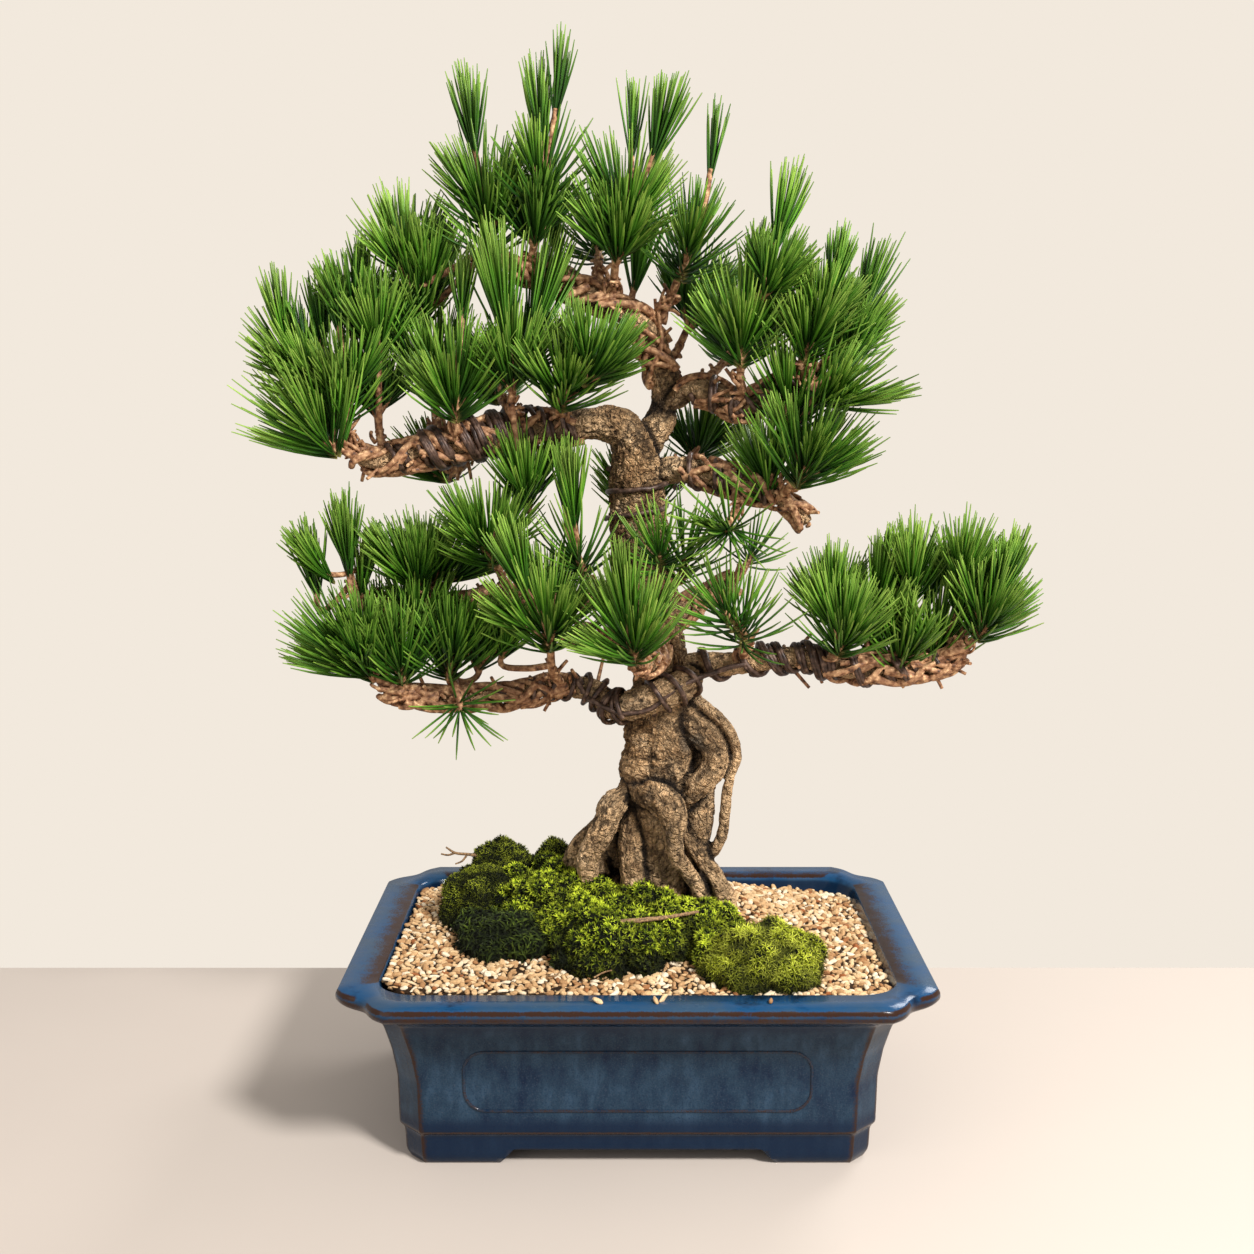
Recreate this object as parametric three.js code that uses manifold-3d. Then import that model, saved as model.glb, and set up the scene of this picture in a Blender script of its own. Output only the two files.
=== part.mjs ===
// A bonsai pine in a glazed rectangular pot.
// Millimetres, +Z up. The origin is on the table under the middle of the pot, with the front
// towards -Y. The pot, its drain screens, the soil, the tree's wood, its training wires, the
// moss and each leafy shoot are separate solids. Touching pieces keep a gap of GAP between them.

import * as THREE from 'three';
import { mergeVertices } from 'three/addons/utils/BufferGeometryUtils.js';
import Module from 'manifold-3d';

const wasm = await Module();
wasm.setup();

// ---------------------------------------------------------------- driving dimensions

const GAP = 0.3;
const FINEST = 0.05; // slivers thinner than this are dropped
const POT_WIDTH = 300;
const POT_DEPTH = 220;
const POT_FLOOR = 18;
const PAST = 20; // how far a cutting shape reaches past what it cuts

// Pot walls from the table up: [height, inset from the rim's edge, length cut off each corner].
const POT_OUTSIDE = [
  [0, 34, 8], [4, 31.5, 10], [17, 31, 10], [18.5, 28.4, 12], [45, 28, 12],
  [60, 25.8, 12], [73, 22.6, 12], [80, 19.3, 14], [85, 12, 19], [88, 3, 25], [90, 0, 28],
  [94.5, 0, 28], [96, 1.5, 27.5],
];
const POT_INSIDE = [
  [POT_FLOOR, 39, 12], [45, 35, 15], [80, 28.5, 18], [90, 22, 20], [96, 19.5, 20],
  [130, 19.5, 20],
];
const LIP_CORNER_START = 14; // corners shorter than this are plain, longer ones get the S-curve
const LIP_CORNER_FULL = 28;

// A cut corner from its front end to its side end: [way along, swell of the S-curved lip,
// swell of a round corner], each as a share of the corner's length.
const CORNER_SHAPE = [[0, 0, 0], [0.2, 0.07, 0.2], [0.5, -0.09, 0.293], [0.8, 0.07, 0.2], [1, 0, 0]];

const FOOT_GAP = { height: 8.5, front: [142, 126], side: [88, 72] }; // [width at table, at top]
const FOOT_RING_INSET = 44;
const PANEL = { bottom: 31, top: 64, halfFront: 87, halfSide: 50, corner: 11, line: 1.6, lift: 0.8 };
const DRAIN = { x: 62, y: 0, radius: 11, sides: 12 };
const SCREEN = { size: 34, thick: 1.2, cells: 3, bar: 2.4 };

// Soil: its level at the middle, its fall to the right and to the back, and the mound at the tree.
const SOIL = { level: 92, fallRight: 3, fallBack: 3, mound: 22, at: [8, 30], reach: [70, 55] };
const GRAVEL = { grid: 21, height: 1.5 };
// Single large grains that stand out of the gravel, on a loose grid: how far apart they are, half a
// grain's width and height, how far it may stray from the grid, and how far it stays from the moss
// (as a share of a clump's half width), from the middle of the tree's foot and from the pot's edge.
const PEBBLE = { apart: 40, wide: 3.4, high: 3, shift: 8, offMoss: 1.3, offTrunk: 56, offWall: 34 };

// Clumps of moss: [x, y, half width, half depth, height] of each dome, and how lumpy domes are.
const CLUMP = { around: 9, up: 5, lump: 0.09, waves: [5, 3, 4] };

const MOSS = {
  moss_balls_back: { colour: 'olive', clumps: [[-79, 68, 21, 21, 25], [-48, 72, 16, 14, 21]] },
  moss_ball_left: { colour: 'olive', clumps: [[-88, 22, 22, 21, 22]] },
  moss_lime: { colour: 'lime', clumps: [[64, -58, 29, 26, 21], [85, -36, 12, 12, 9]] },
  moss_dark: { colour: 'deep', clumps: [[-68, -26, 25, 20, 12], [-86, -4, 12, 12, 7]] },
  moss_green: {
    colour: 'fresh',
    clumps: [[-42, 6, 34, 24, 14], [-14, -40, 31, 27, 17], [26, -20, 30, 26, 13]],
  },
};
// A dry stick that bridges two clumps of moss: [x, y, z, radius] rows.
const STICK = [[-12, -50, 113.6, 1.4], [4, -44, 113, 1.3], [18, -38, 112.6, 1.1], [32, -33, 113.4, 0.8]];

// Wood. Each row is a point on the middle of the limb and the limb's radius there: [x, y, z, r].
// Sides of the trunk, of a limb or root and of a twig, and the rings that a limb has for each row.
const WOOD = { trunkSides: 8, sides: 5, twigSides: 3, ringsPerRow: 0.6 };
const LIMBS = {
  // The trunk, which bends over at its top and runs on as the big left branch.
  trunk: [
    [12, 28, 100, 25], [13, 27, 122, 22], [14, 26, 145, 20], [15, 25, 175, 20.5], [17, 24, 198, 19.5],
    [15, 22, 220, 17.5], [13, 20, 243, 15], [8, 20, 268, 16], [3, 21, 295, 16.5], [0, 22, 322, 16],
    [0, 21, 343, 14.5], [-2, 19, 358, 12.5], [-10, 16, 369, 10.5], [-24, 13, 371, 8.5],
    [-41, 10, 369, 8], [-62, 6, 367, 7.5], [-82, 4, 364, 7.2], [-103, 2, 359, 6.6],
    [-119, 0, 355, 5.8], [-134, -2, 352, 4.8], [-147, -4, 355, 3.8],
  ],
  apex: [
    [1, 22, 348, 9.5], [6, 24, 362, 9.5], [14, 26, 378, 8.5], [15, 26, 395, 8], [10, 25, 410, 7.5],
    [0, 21, 423, 7], [-14, 18, 433, 6.2], [-33, 14, 441, 5.4], [-48, 10, 446, 4.8],
    [-62, 8, 451, 4], [-73, 8, 455, 3.2],
  ],
  upperRight: [
    [10, 26, 376, 7], [28, 18, 388, 6.2], [41, 12, 386, 6], [54, 8, 380, 5.6], [64, 4, 383, 5.2],
    [79, 0, 393, 4.8], [91, -4, 399, 3.6],
  ],
  midRight: [
    [2, 22, 342, 9], [19, 18, 346, 7.5], [39, 10, 344, 6.2], [58, 4, 338, 5.6], [72, 0, 334, 4.8],
    [83, -4, 327, 4], [89, -6, 320, 3.2],
  ],
  lowerRight: [
    [13, 22, 236, 9], [34, 18, 240, 7.5], [58, 10, 243, 6.4], [77, 4, 247, 6], [95, 0, 246, 6],
    [114, -2, 242, 5.6], [136, -4, 242, 5.2], [152, -4, 244, 4.6], [163, -6, 246, 4],
    [173, -8, 255, 3.2],
  ],
  // It leaves the trunk on the right and crosses its front.
  lowerLeft: [
    [32, 18, 236, 6.5], [27, 8, 233, 6.2], [19, 3, 230, 5.8], [7, 1, 225, 5.6], [-4, 1, 221, 5.4],
    [-12, 3, 220, 5.2], [-19, 6, 225, 5], [-26, 8, 230, 5], [-36, 7, 230, 4.6], [-48, 4, 231, 4.3],
    [-60, 2, 227, 4], [-81, -2, 227, 3.7], [-105, -4, 226, 3.4], [-123, -6, 228, 3],
    [-135, -8, 233, 2.6],
  ],
  midLeft: [
    [4, 22, 284, 7.5], [-20, 30, 274, 5.6], [-42, 30, 273, 5], [-64, 26, 275, 4.6],
    [-85, 22, 275, 4.2], [-107, 16, 271, 3.8], [-128, 12, 274, 3.4], [-146, 8, 279, 2.8],
  ],
  front: [[12, 16, 252, 6.5], [10, 0, 248, 5], [6, -16, 247, 4.4], [2, -32, 250, 3.8]],
  lowBack: [[5, 28, 300, 8], [4, 44, 304, 5.5], [3, 56, 309, 4]],
  rightBack: [[10, 26, 262, 8], [26, 40, 267, 5.5], [44, 50, 275, 4.5], [56, 54, 281, 3.6]],
  leftBack: [[6, 28, 246, 8], [-12, 42, 247, 5], [-30, 52, 251, 4], [-40, 55, 254, 3.2]],
};

// Roots that stand clear of the soil and dive into it.
const ROOTS = {
  // The thin one on the right, with a narrow gap between it and the trunk.
  arch: [
    [30, 18, 222, 4.5], [38, 13, 217, 3.8], [47, 10, 211, 3.4], [54, 8, 202, 3.2], [56, 8, 191, 3.2],
    [52, 8, 182, 3.1], [49, 8, 170, 3.1], [48, 8, 158, 3.2], [47, 9, 148, 3.4], [40, 11, 134, 4],
    [32, 14, 122, 4.6],
  ],
  knee: [[30, 15, 207, 8], [42, 11, 199, 6.4], [45, 9, 188, 6], [37, 9, 178, 6], [27, 14, 166, 7]],
  flank: [
    [30, 22, 194, 9], [33, 19, 174, 9.5], [34, 17, 156, 8.5], [32, 16, 138, 7.5], [30, 18, 110, 7],
  ],
  middle: [
    [11, 15, 182, 8], [17, 9, 166, 8.5], [20, 5, 150, 6.4], [24, 5, 132, 5.2], [32, 6, 116, 5.4],
    [36, 8, 100, 5.4],
  ],
  centre: [[4, 16, 172, 9], [2, 12, 152, 9], [4, 10, 132, 9], [6, 10, 114, 8.5], [7, 12, 99, 7]],
  left: [
    [-3, 20, 188, 8], [-13, 14, 170, 6.5], [-17, 11, 156, 6], [-23, 8, 144, 5.6], [-28, 8, 133, 5.2],
    [-26, 8, 120, 5], [-23, 11, 100, 5],
  ],
  farLeft: [
    [-12, 24, 156, 6], [-24, 26, 144, 4.8], [-33, 28, 135, 4.4], [-38, 31, 121, 4.6], [-38, 34, 99, 5],
  ],
  right: [
    [24, 20, 156, 8], [30, 13, 143, 5.6], [38, 9, 131, 5.2], [45, 7, 119, 5], [50, 6, 107, 5],
    [50, 10, 94, 5],
  ],
  backRight: [[22, 36, 150, 9], [30, 48, 132, 6.5], [36, 58, 115, 6], [38, 62, 98, 6]],
  backLeft: [[2, 38, 150, 9], [-6, 52, 132, 6.5], [-12, 62, 113, 6], [-12, 64, 96, 6]],
};
const ROOT_MASS = {
  at: [8, 28], top: 103, bottom: 48, topRadius: 47, bottomRadius: 34, squash: 0.85, sides: 14,
};

// Training wires. A coil runs round a limb between two places on it, given as shares of its length.
const WIRE_RADIUS = 1.4;
const WIRE = { sides: 4, stepsPerTurn: 6 };
const LIMB_SAMPLES = 240; // places along a limb that coils and twigs choose from
const COILS = {
  leftBranch: { limb: 'trunk', from: 0.72, to: 0.955, turns: 9 },
  trunkBend: { limb: 'trunk', from: 0.535, to: 0.6, turns: 2 },
  upperRight: { limb: 'upperRight', from: 0.27, to: 0.86, turns: 4 },
  midRight: { limb: 'midRight', from: 0.3, to: 0.72, turns: 2 },
  lowerRight: { limb: 'lowerRight', from: 0.3, to: 0.92, turns: 7 },
  lowerLeft: { limb: 'lowerLeft', from: 0.7, to: 0.42, turns: 5 },
};
// The wire that passes across the front of the trunk from one lower branch to the other.
const CROSSING = [[-24, -3, 225], [-10, -7, 219], [6, -8, 221], [20, -6, 231], [34, 0, 237]];

// Leafy shoots. 'on' is the limb that carries the shoot, 'stem' runs from the shoot's foot to its
// tip, 'sides' leave the stem at a numbered point, and 'tufts' sit on numbered points: the stem's
// points come first, then the ends of the sides. A tuft may have its own needle length.
const SHOOTS = {
  crown_left: {
    on: 'apex', stem: [[-76, 8, 462], [-77, 8, 472], [-79, 8, 486], [-84, 10, 514]],
    tufts: [[1, 'rosette'], [2, 'rosette'], [3, 'candle']],
  },
  crown_middle: {
    on: 'apex', stem: [[-54, 3, 457], [-51, -4, 471], [-47, -6, 492], [-49, -4, 515]],
    sides: [[2, [-41, -8, 527]]], tufts: [[1, 'fan', 30], [2, 'rosette'], [3, 'candle'], [4, 'candle']],
  },
  crown_right: {
    on: 'apex', stem: [[-12, 6, 446], [-10, -6, 462], [-4, -10, 478], [9, -12, 507]],
    sides: [[2, [-3, -4, 508]]], tufts: [[1, 'fan'], [2, 'rosette'], [3, 'candle'], [4, 'thin']],
  },
  crown_far_right: {
    on: 'apex', stem: [[19, 16, 440], [26, 2, 458], [33, 0, 477], [37, 0, 499]],
    tufts: [[1, 'rosette'], [3, 'thin', 34]],
  },
  crown_back: {
    on: 'apex', stem: [[-21, 38, 456], [-21, 54, 470]], tufts: [[1, 'rosette']],
  },
  inner_candle: { on: 'apex', stem: [[-4, 36, 432], [-1, 38, 446]], tufts: [[1, 'candle', 48]] },
  inner_right: { on: 'apex', stem: [[24, 38, 414], [31, 42, 430]], tufts: [[1, 'fan']] },
  inner_left: { on: 'apex', stem: [[-40, 28, 452], [-43, 32, 466]], tufts: [[1, 'candle', 36]] },
  upper_right_front: {
    on: 'upperRight', stem: [[53, -4, 398], [53, -9, 414], [57, -12, 433], [71, -10, 465]],
    sides: [[2, [68, -22, 442]], [1, [62, 8, 447]]],
    tufts: [[1, 'rosette', 42], [2, 'candle'], [3, 'candle'], [4, 'fan', 30], [5, 'thin', 30]],
  },
  upper_right_middle: {
    on: 'upperRight', stem: [[84, -10, 404], [88, -12, 416], [94, -14, 427], [99, -12, 442]],
    tufts: [[1, 'rosette'], [2, 'rosette', 30], [3, 'candle', 30]],
  },
  upper_right_tip: {
    on: 'upperRight', stem: [[100, 2, 405], [108, 8, 414], [115, 10, 425]],
    tufts: [[1, 'rosette'], [2, 'candle', 44]],
  },
  upper_right_low: {
    on: 'upperRight', stem: [[92, -18, 388], [102, -24, 381]], tufts: [[1, 'rosette', 42]],
  },
  upper_right_back: {
    on: 'upperRight', stem: [[46, 42, 402], [54, 62, 412]], tufts: [[1, 'rosette']],
  },
  mid_right_tip: { on: 'midRight', stem: [[80, -16, 342], [86, -24, 351]], tufts: [[1, 'rosette', 48]] },
  mid_right_back: { on: 'midRight', stem: [[30, 42, 352], [36, 60, 358]], tufts: [[1, 'rosette']] },
  mid_right_front: { on: 'midRight', stem: [[50, -12, 326], [44, -26, 318]], tufts: [[1, 'rosette']] },
  trunk_front: { on: 'trunk', stem: [[13, -8, 294], [11, -28, 306]], tufts: [[1, 'rosette', 36]] },
  left_tip_high: {
    on: 'trunk', stem: [[-150, -6, 368], [-150, -8, 386], [-153, -4, 424]],
    sides: [[1, [-175, 2, 416]]], tufts: [[1, 'rosette'], [2, 'candle', 24], [3, 'candle', 24]],
  },
  left_tip_low: {
    on: 'trunk', stem: [[-154, -14, 360], [-162, -16, 366]], tufts: [[1, 'rosette', 50]],
  },
  left_high_a: {
    on: 'trunk', stem: [[-135, 4, 368], [-137, 8, 384], [-141, 10, 412], [-142, 8, 439]],
    tufts: [[1, 'fan'], [3, 'candle', 28]],
  },
  left_high_b: {
    on: 'trunk', stem: [[-106, 10, 374], [-106, 12, 396], [-116, 16, 432]],
    sides: [[2, [-125, 12, 461]], [2, [-107, 24, 452]]],
    tufts: [[1, 'rosette'], [2, 'rosette', 34], [3, 'candle', 28], [4, 'candle', 28]],
  },
  left_high_c: {
    on: 'trunk', stem: [[-93, -12, 373], [-92, -16, 386], [-89, -8, 430]],
    tufts: [[1, 'rosette', 46], [2, 'candle', 28]],
  },
  left_two_lobed: {
    on: 'trunk', stem: [[-65, -8, 382], [-63, -11, 398], [-67, -13, 416]],
    sides: [[1, [-54, -6, 415]]], tufts: [[1, 'fan'], [2, 'candle', 58], [3, 'candle', 58]],
  },
  left_inner: {
    on: 'trunk', stem: [[-40, -6, 380], [-37, -17, 389]], sides: [[1, [-21, -24, 398]]],
    tufts: [[1, 'rosette'], [2, 'fan']],
  },
  left_back_a: { on: 'trunk', stem: [[-73, 40, 382], [-80, 60, 390]], tufts: [[1, 'rosette']] },
  left_back_b: { on: 'trunk', stem: [[-100, 34, 345], [-112, 50, 344]], tufts: [[1, 'rosette']] },
  mid_left_trunk: {
    on: 'midLeft', stem: [[-25, -4, 290], [-30, -20, 302], [-32, -26, 326]],
    tufts: [[1, 'rosette'], [2, 'candle']],
  },
  mid_left_front: {
    on: 'midLeft', stem: [[-74, 8, 294], [-78, -8, 308], [-63, -4, 327]],
    tufts: [[1, 'rosette'], [2, 'candle', 26]],
  },
  mid_left_middle: {
    on: 'midLeft', stem: [[-114, 8, 284], [-122, 2, 292]], sides: [[0, [-106, 20, 290]]],
    tufts: [[1, 'fan', 32], [2, 'fan']],
  },
  mid_left_tip: {
    on: 'midLeft', stem: [[-151, 2, 288], [-153, -4, 302]],
    sides: [[0, [-145, 14, 298]], [0, [-163, -12, 294]]],
    tufts: [[1, 'candle', 34], [2, 'candle', 24], [3, 'candle', 34]],
  },
  low_left_tip: {
    on: 'lowerLeft', stem: [[-137, -12, 239], [-143, -14, 246], [-151, -16, 250]],
    sides: [[0, [-136, 4, 250]]], tufts: [[1, 'fan'], [2, 'rosette', 44], [3, 'candle', 36]],
  },
  low_left_hanging: {
    on: 'lowerLeft', stem: [[-98, 2, 235], [-95, -12, 233], [-92, -20, 223]],
    sides: [[0, [-100, 9, 249]]], tufts: [[2, 'rosette'], [3, 'candle']],
  },
  low_left_front: {
    on: 'lowerLeft', stem: [[-45, -14, 246], [-46, -34, 268], [-58, -36, 292]],
    tufts: [[1, 'rosette', 42], [2, 'candle']],
  },
  low_front: {
    on: 'front', stem: [[1, -44, 255], [-4, -54, 265], [-6, -60, 281]],
    tufts: [[1, 'rosette', 44], [2, 'candle']],
  },
  low_right_front: {
    on: 'lowerRight', stem: [[56, -8, 256], [54, -24, 267], [44, -32, 277]],
    tufts: [[1, 'rosette'], [2, 'rosette']],
  },
  low_right_middle: {
    on: 'lowerRight', stem: [[105, -12, 254], [108, -18, 264]], sides: [[0, [104, 8, 272]]],
    tufts: [[1, 'rosette'], [2, 'fan']],
  },
  low_right_a: {
    on: 'lowerRight', stem: [[124, 4, 254], [125, 8, 264], [128, 4, 276]],
    tufts: [[1, 'fan'], [2, 'candle', 44]],
  },
  low_right_b: {
    on: 'lowerRight', stem: [[144, 2, 256], [143, 6, 278]], sides: [[0, [157, 12, 278]]],
    tufts: [[1, 'candle', 36], [2, 'candle', 34]],
  },
  low_right_c: { on: 'lowerRight', stem: [[168, 4, 264], [178, 8, 282]], tufts: [[1, 'fan', 32]] },
  low_right_tip: {
    on: 'lowerRight', stem: [[177, -12, 261], [182, -16, 272], [188, -14, 286]],
    tufts: [[1, 'rosette', 32], [2, 'candle', 30]],
  },
  low_back: { on: 'lowBack', stem: [[2, 62, 316], [1, 70, 324]], tufts: [[1, 'rosette', 36]] },
  low_back_right: { on: 'rightBack', stem: [[61, 60, 288], [66, 68, 295]], tufts: [[1, 'rosette', 36]] },
  low_back_left: { on: 'leftBack', stem: [[-46, 60, 260], [-52, 68, 267]], tufts: [[1, 'rosette', 36]] },
};
const SHOOT = { footRadius: 2.4, tipRadius: 2, sides: 4, firstFork: 0.35 };
// The woody twig below a shoot: its radius at the limb and at the shoot, its gap to the shoot, how
// far back along the limb it starts and how far it bends, both as shares of its length.
const TWIG = { footRadius: 2.8, tipRadius: 2.2, gap: 0.5, setBack: 0.35, bend: 0.4, lowest: 0.02 };

// Tufts: how far the needles lean out from the stem (degrees), how many there are and how long.
const TUFTS = {
  rosette: { spread: 95, count: 8, length: 38 },
  fan: { spread: 58, count: 6, length: 36 },
  candle: { spread: 25, count: 6, length: 38 },
  thin: { spread: 22, count: 3, length: 36 },
};
// A tuft's needles leave the last 'whorl' of the stem, starting 'inset' below its tip. A blocked
// needle turns aside a little further at each try: by 'sway' degrees more every 'swayTries' tries.
const NEEDLE = {
  radius: 0.75, sides: 3, clearance: 0.5, whorl: 14, inset: 0.6, lengthSpread: 0.14, jitter: 0.3,
  tries: 40, sway: 18, swayTries: 8,
};
const GOLDEN_ANGLE = Math.PI * (3 - Math.sqrt(5));

const COLOURS = {
  glaze: 0x2f4f7a, screen: 0x2a2a28, grit: 0xd7b487, bark: 0x96795a, wire: 0x4b3c34,
  olive: 0x55662a, lime: 0x86a51c, deep: 0x25351a, fresh: 0x4f7d1c, stick: 0x7a6244,
};
const NEEDLE_GREENS = [0x2f6a22, 0x3b7a28, 0x2a5c22, 0x457f2c];

// ---------------------------------------------------------------- chance

const seeds = { value: 20461 };

// A repeatable number between 0 and 1.
function chance() {
  seeds.value = (seeds.value * 1664525 + 1013904223) % 4294967296;
  return seeds.value / 4294967296;
}

// A repeatable number between -1 and 1 that depends only on a place.
function grain(x, y) {
  const wave = Math.sin(x * 12.9898 + y * 78.233) * 43758.5453;
  return 2 * (wave - Math.floor(wave)) - 1;
}

// ---------------------------------------------------------------- solids

const point = (p) => new THREE.Vector3(p[0], p[1], p[2]);

// A closed three.js geometry as a solid that can be joined and cut.
function solid(geometry) {
  geometry.deleteAttribute('normal');
  geometry.deleteAttribute('uv');
  const welded = mergeVertices(geometry, 1e-4);
  const mesh = new wasm.Mesh({
    numProp: 3,
    vertProperties: new Float32Array(welded.attributes.position.array),
    triVerts: new Uint32Array(welded.index.array),
  });
  return new wasm.Manifold(mesh);
}

const union = (solids) => wasm.Manifold.union(solids);

// The solid without slivers, sealed hollows and loose scraps.
function tidy(shape) {
  const pieces = shape.simplify(FINEST).decompose();
  return pieces.reduce((best, piece) => (piece.volume() > best.volume() ? piece : best));
}

function geometryOf(shape) {
  const mesh = shape.getMesh();
  const geometry = new THREE.BufferGeometry();
  geometry.setAttribute('position', new THREE.BufferAttribute(mesh.vertProperties, 3));
  geometry.setIndex(new THREE.BufferAttribute(mesh.triVerts, 1));
  geometry.computeVertexNormals();
  return geometry;
}

const box = (w, d, h, x, y, z) => solid(new THREE.BoxGeometry(w, d, h).translate(x, y, z));

// ---------------------------------------------------------------- limbs

// A smooth line through [x, y, z, radius] rows.
function limbLine(rows) {
  const curve = new THREE.CatmullRomCurve3(rows.map(point), false, 'centripetal');
  curve.arcLengthDivisions = 400;
  const radiusAt = (share) => {
    const place = curve.getUtoTmapping(share) * (rows.length - 1);
    const row = Math.min(Math.floor(place), rows.length - 2);
    return THREE.MathUtils.lerp(rows[row][3], rows[row + 1][3], place - row);
  };
  return { curve, radiusAt };
}

// A round bar bent along a line: a closed cylinder whose rings are moved onto the line.
function limb(rows, sides, steps, extra = 0) {
  const { curve, radiusAt } = limbLine(rows);
  const frames = curve.computeFrenetFrames(steps);
  const geometry = new THREE.CylinderGeometry(1, 1, 1, sides, steps);
  const place = geometry.attributes.position;
  for (let i = 0; i < place.count; i += 1) {
    const ring = Math.round((place.getY(i) + 0.5) * steps);
    const radius = radiusAt(ring / steps) + extra;
    const centre = curve.getPointAt(ring / steps);
    centre.addScaledVector(frames.normals[ring], radius * place.getX(i));
    centre.addScaledVector(frames.binormals[ring], -radius * place.getZ(i));
    place.setXYZ(i, centre.x, centre.y, centre.z);
  }
  return solid(geometry);
}

// A lumpy dome that stands on the soil.
function dome([x, y, halfWidth, halfDepth, height], extra) {
  const [waveX, waveZ, waveY] = CLUMP.waves;
  const geometry = new THREE.SphereGeometry(1, CLUMP.around, CLUMP.up).rotateX(Math.PI / 2);
  const place = geometry.attributes.position;
  const foot = soilHeight(x, y);
  for (let i = 0; i < place.count; i += 1) {
    const [u, v, w] = [place.getX(i), place.getY(i), place.getZ(i)];
    const lump = 1 + CLUMP.lump * Math.sin(waveX * u + waveZ * w + x) * Math.cos(waveY * v - y);
    place.setXYZ(
      i,
      x + u * (halfWidth * lump + extra),
      y + v * (halfDepth * lump + extra),
      foot + w * (height * lump + extra),
    );
  }
  return solid(geometry);
}

// ---------------------------------------------------------------- pot

// The pot's plan at one height: a rectangle with cut corners, starting at the middle of the front.
function potPlan(inset, corner, roundCorners) {
  const halfX = POT_WIDTH / 2 - inset;
  const halfY = POT_DEPTH / 2 - inset;
  const lip = (corner - LIP_CORNER_START) / (LIP_CORNER_FULL - LIP_CORNER_START);
  const wave = THREE.MathUtils.clamp(lip, 0, 1);
  const quarter = CORNER_SHAPE.map(([along, sCurve, round]) => {
    const swell = corner * (roundCorners ? round : sCurve * wave) * Math.SQRT1_2;
    return [halfX - corner * (1 - along) + swell, halfY - corner * along + swell];
  });
  const back = [...quarter].reverse();
  return [
    [0, -halfY], ...quarter.map(([x, y]) => [x, -y]),
    [halfX, 0], ...back,
    [0, halfY], ...quarter.map(([x, y]) => [-x, y]),
    [-halfX, 0], ...back.map(([x, y]) => [-x, -y]),
  ];
}

// A closed solid through the pot's plans, from [height, inset, corner] rows.
function potForm(rows, roundCorners, grow = 0) {
  const plans = rows.map(([, inset, corner]) => potPlan(inset - grow, corner, roundCorners));
  const count = plans[0].length;
  const geometry = new THREE.CylinderGeometry(1, 1, 1, count, rows.length - 1);
  const place = geometry.attributes.position;
  for (let i = 0; i < place.count; i += 1) {
    const level = Math.round((place.getY(i) + 0.5) * (rows.length - 1));
    const [x, z] = [place.getX(i), place.getZ(i)];
    const turn = (Math.atan2(x, z) / (2 * Math.PI) + 1) * count;
    const [planX, planY] = Math.hypot(x, z) < 0.5 ? [0, 0] : plans[level][Math.round(turn) % count];
    place.setXYZ(i, planX, planY, rows[level][0]);
  }
  return solid(geometry);
}

// The pot's hollow, grown on every side.
const potInside = (grow) => {
  const [[floor, ...plan], ...walls] = POT_INSIDE;
  return potForm([[floor - grow, ...plan], ...walls], true, grow);
};

// An upright plate with a rounded frame's outline, lying across Y.
function frameLine(halfWidth, depth) {
  const outline = (lessBy) => {
    const shape = new THREE.Path();
    const [side, low, high] = [halfWidth - lessBy, PANEL.bottom + lessBy, PANEL.top - lessBy];
    const radius = PANEL.corner - lessBy;
    shape.absarc(side - radius, low + radius, radius, -Math.PI / 2, 0);
    shape.absarc(side - radius, high - radius, radius, 0, Math.PI / 2);
    shape.absarc(-side + radius, high - radius, radius, Math.PI / 2, Math.PI);
    shape.absarc(-side + radius, low + radius, radius, Math.PI, Math.PI * 1.5);
    return shape;
  };
  const shape = new THREE.Shape(outline(0).getPoints(2));
  shape.holes.push(new THREE.Path(outline(PANEL.line).getPoints(2)));
  const plate = new THREE.ExtrudeGeometry(shape, { depth, bevelEnabled: false });
  return plate.rotateX(Math.PI / 2).translate(0, depth / 2, 0);
}

// A bar with a trapezium section, cut through between the feet.
function footGap([atTable, atTop], length) {
  const [low, high] = [atTable / 2, atTop / 2];
  const shape = new THREE.Shape([
    new THREE.Vector2(-low, -1), new THREE.Vector2(low, -1),
    new THREE.Vector2(high, FOOT_GAP.height), new THREE.Vector2(-high, FOOT_GAP.height),
  ]);
  const bar = new THREE.ExtrudeGeometry(shape, { depth: length, bevelEnabled: false });
  return bar.rotateX(Math.PI / 2).translate(0, length / 2, 0);
}

function pot() {
  const body = potForm(POT_OUTSIDE, false);
  const raised = potForm(POT_OUTSIDE, false, PANEL.lift);
  const frontLines = solid(frameLine(PANEL.halfFront, POT_DEPTH + 2 * PAST));
  const sideLines = solid(frameLine(PANEL.halfSide, POT_WIDTH + 2 * PAST).rotateZ(Math.PI / 2));
  const lines = raised.intersect(frontLines.add(sideLines));
  const underside = [[-1, FOOT_RING_INSET, 8], [FOOT_GAP.height, FOOT_RING_INSET, 8]];
  const drains = [-DRAIN.x, DRAIN.x].map((x) => {
    const bore = new THREE.CylinderGeometry(DRAIN.radius, DRAIN.radius, POT_FLOOR * 2, DRAIN.sides);
    return solid(bore.rotateX(Math.PI / 2).translate(x, DRAIN.y, POT_FLOOR));
  });
  const cuts = union([
    potInside(0),
    potForm(underside, false),
    solid(footGap(FOOT_GAP.front, POT_DEPTH + 2 * PAST)),
    solid(footGap(FOOT_GAP.side, POT_WIDTH + 2 * PAST).rotateZ(Math.PI / 2)),
    ...drains,
  ]);
  return body.add(lines).subtract(cuts);
}

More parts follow.
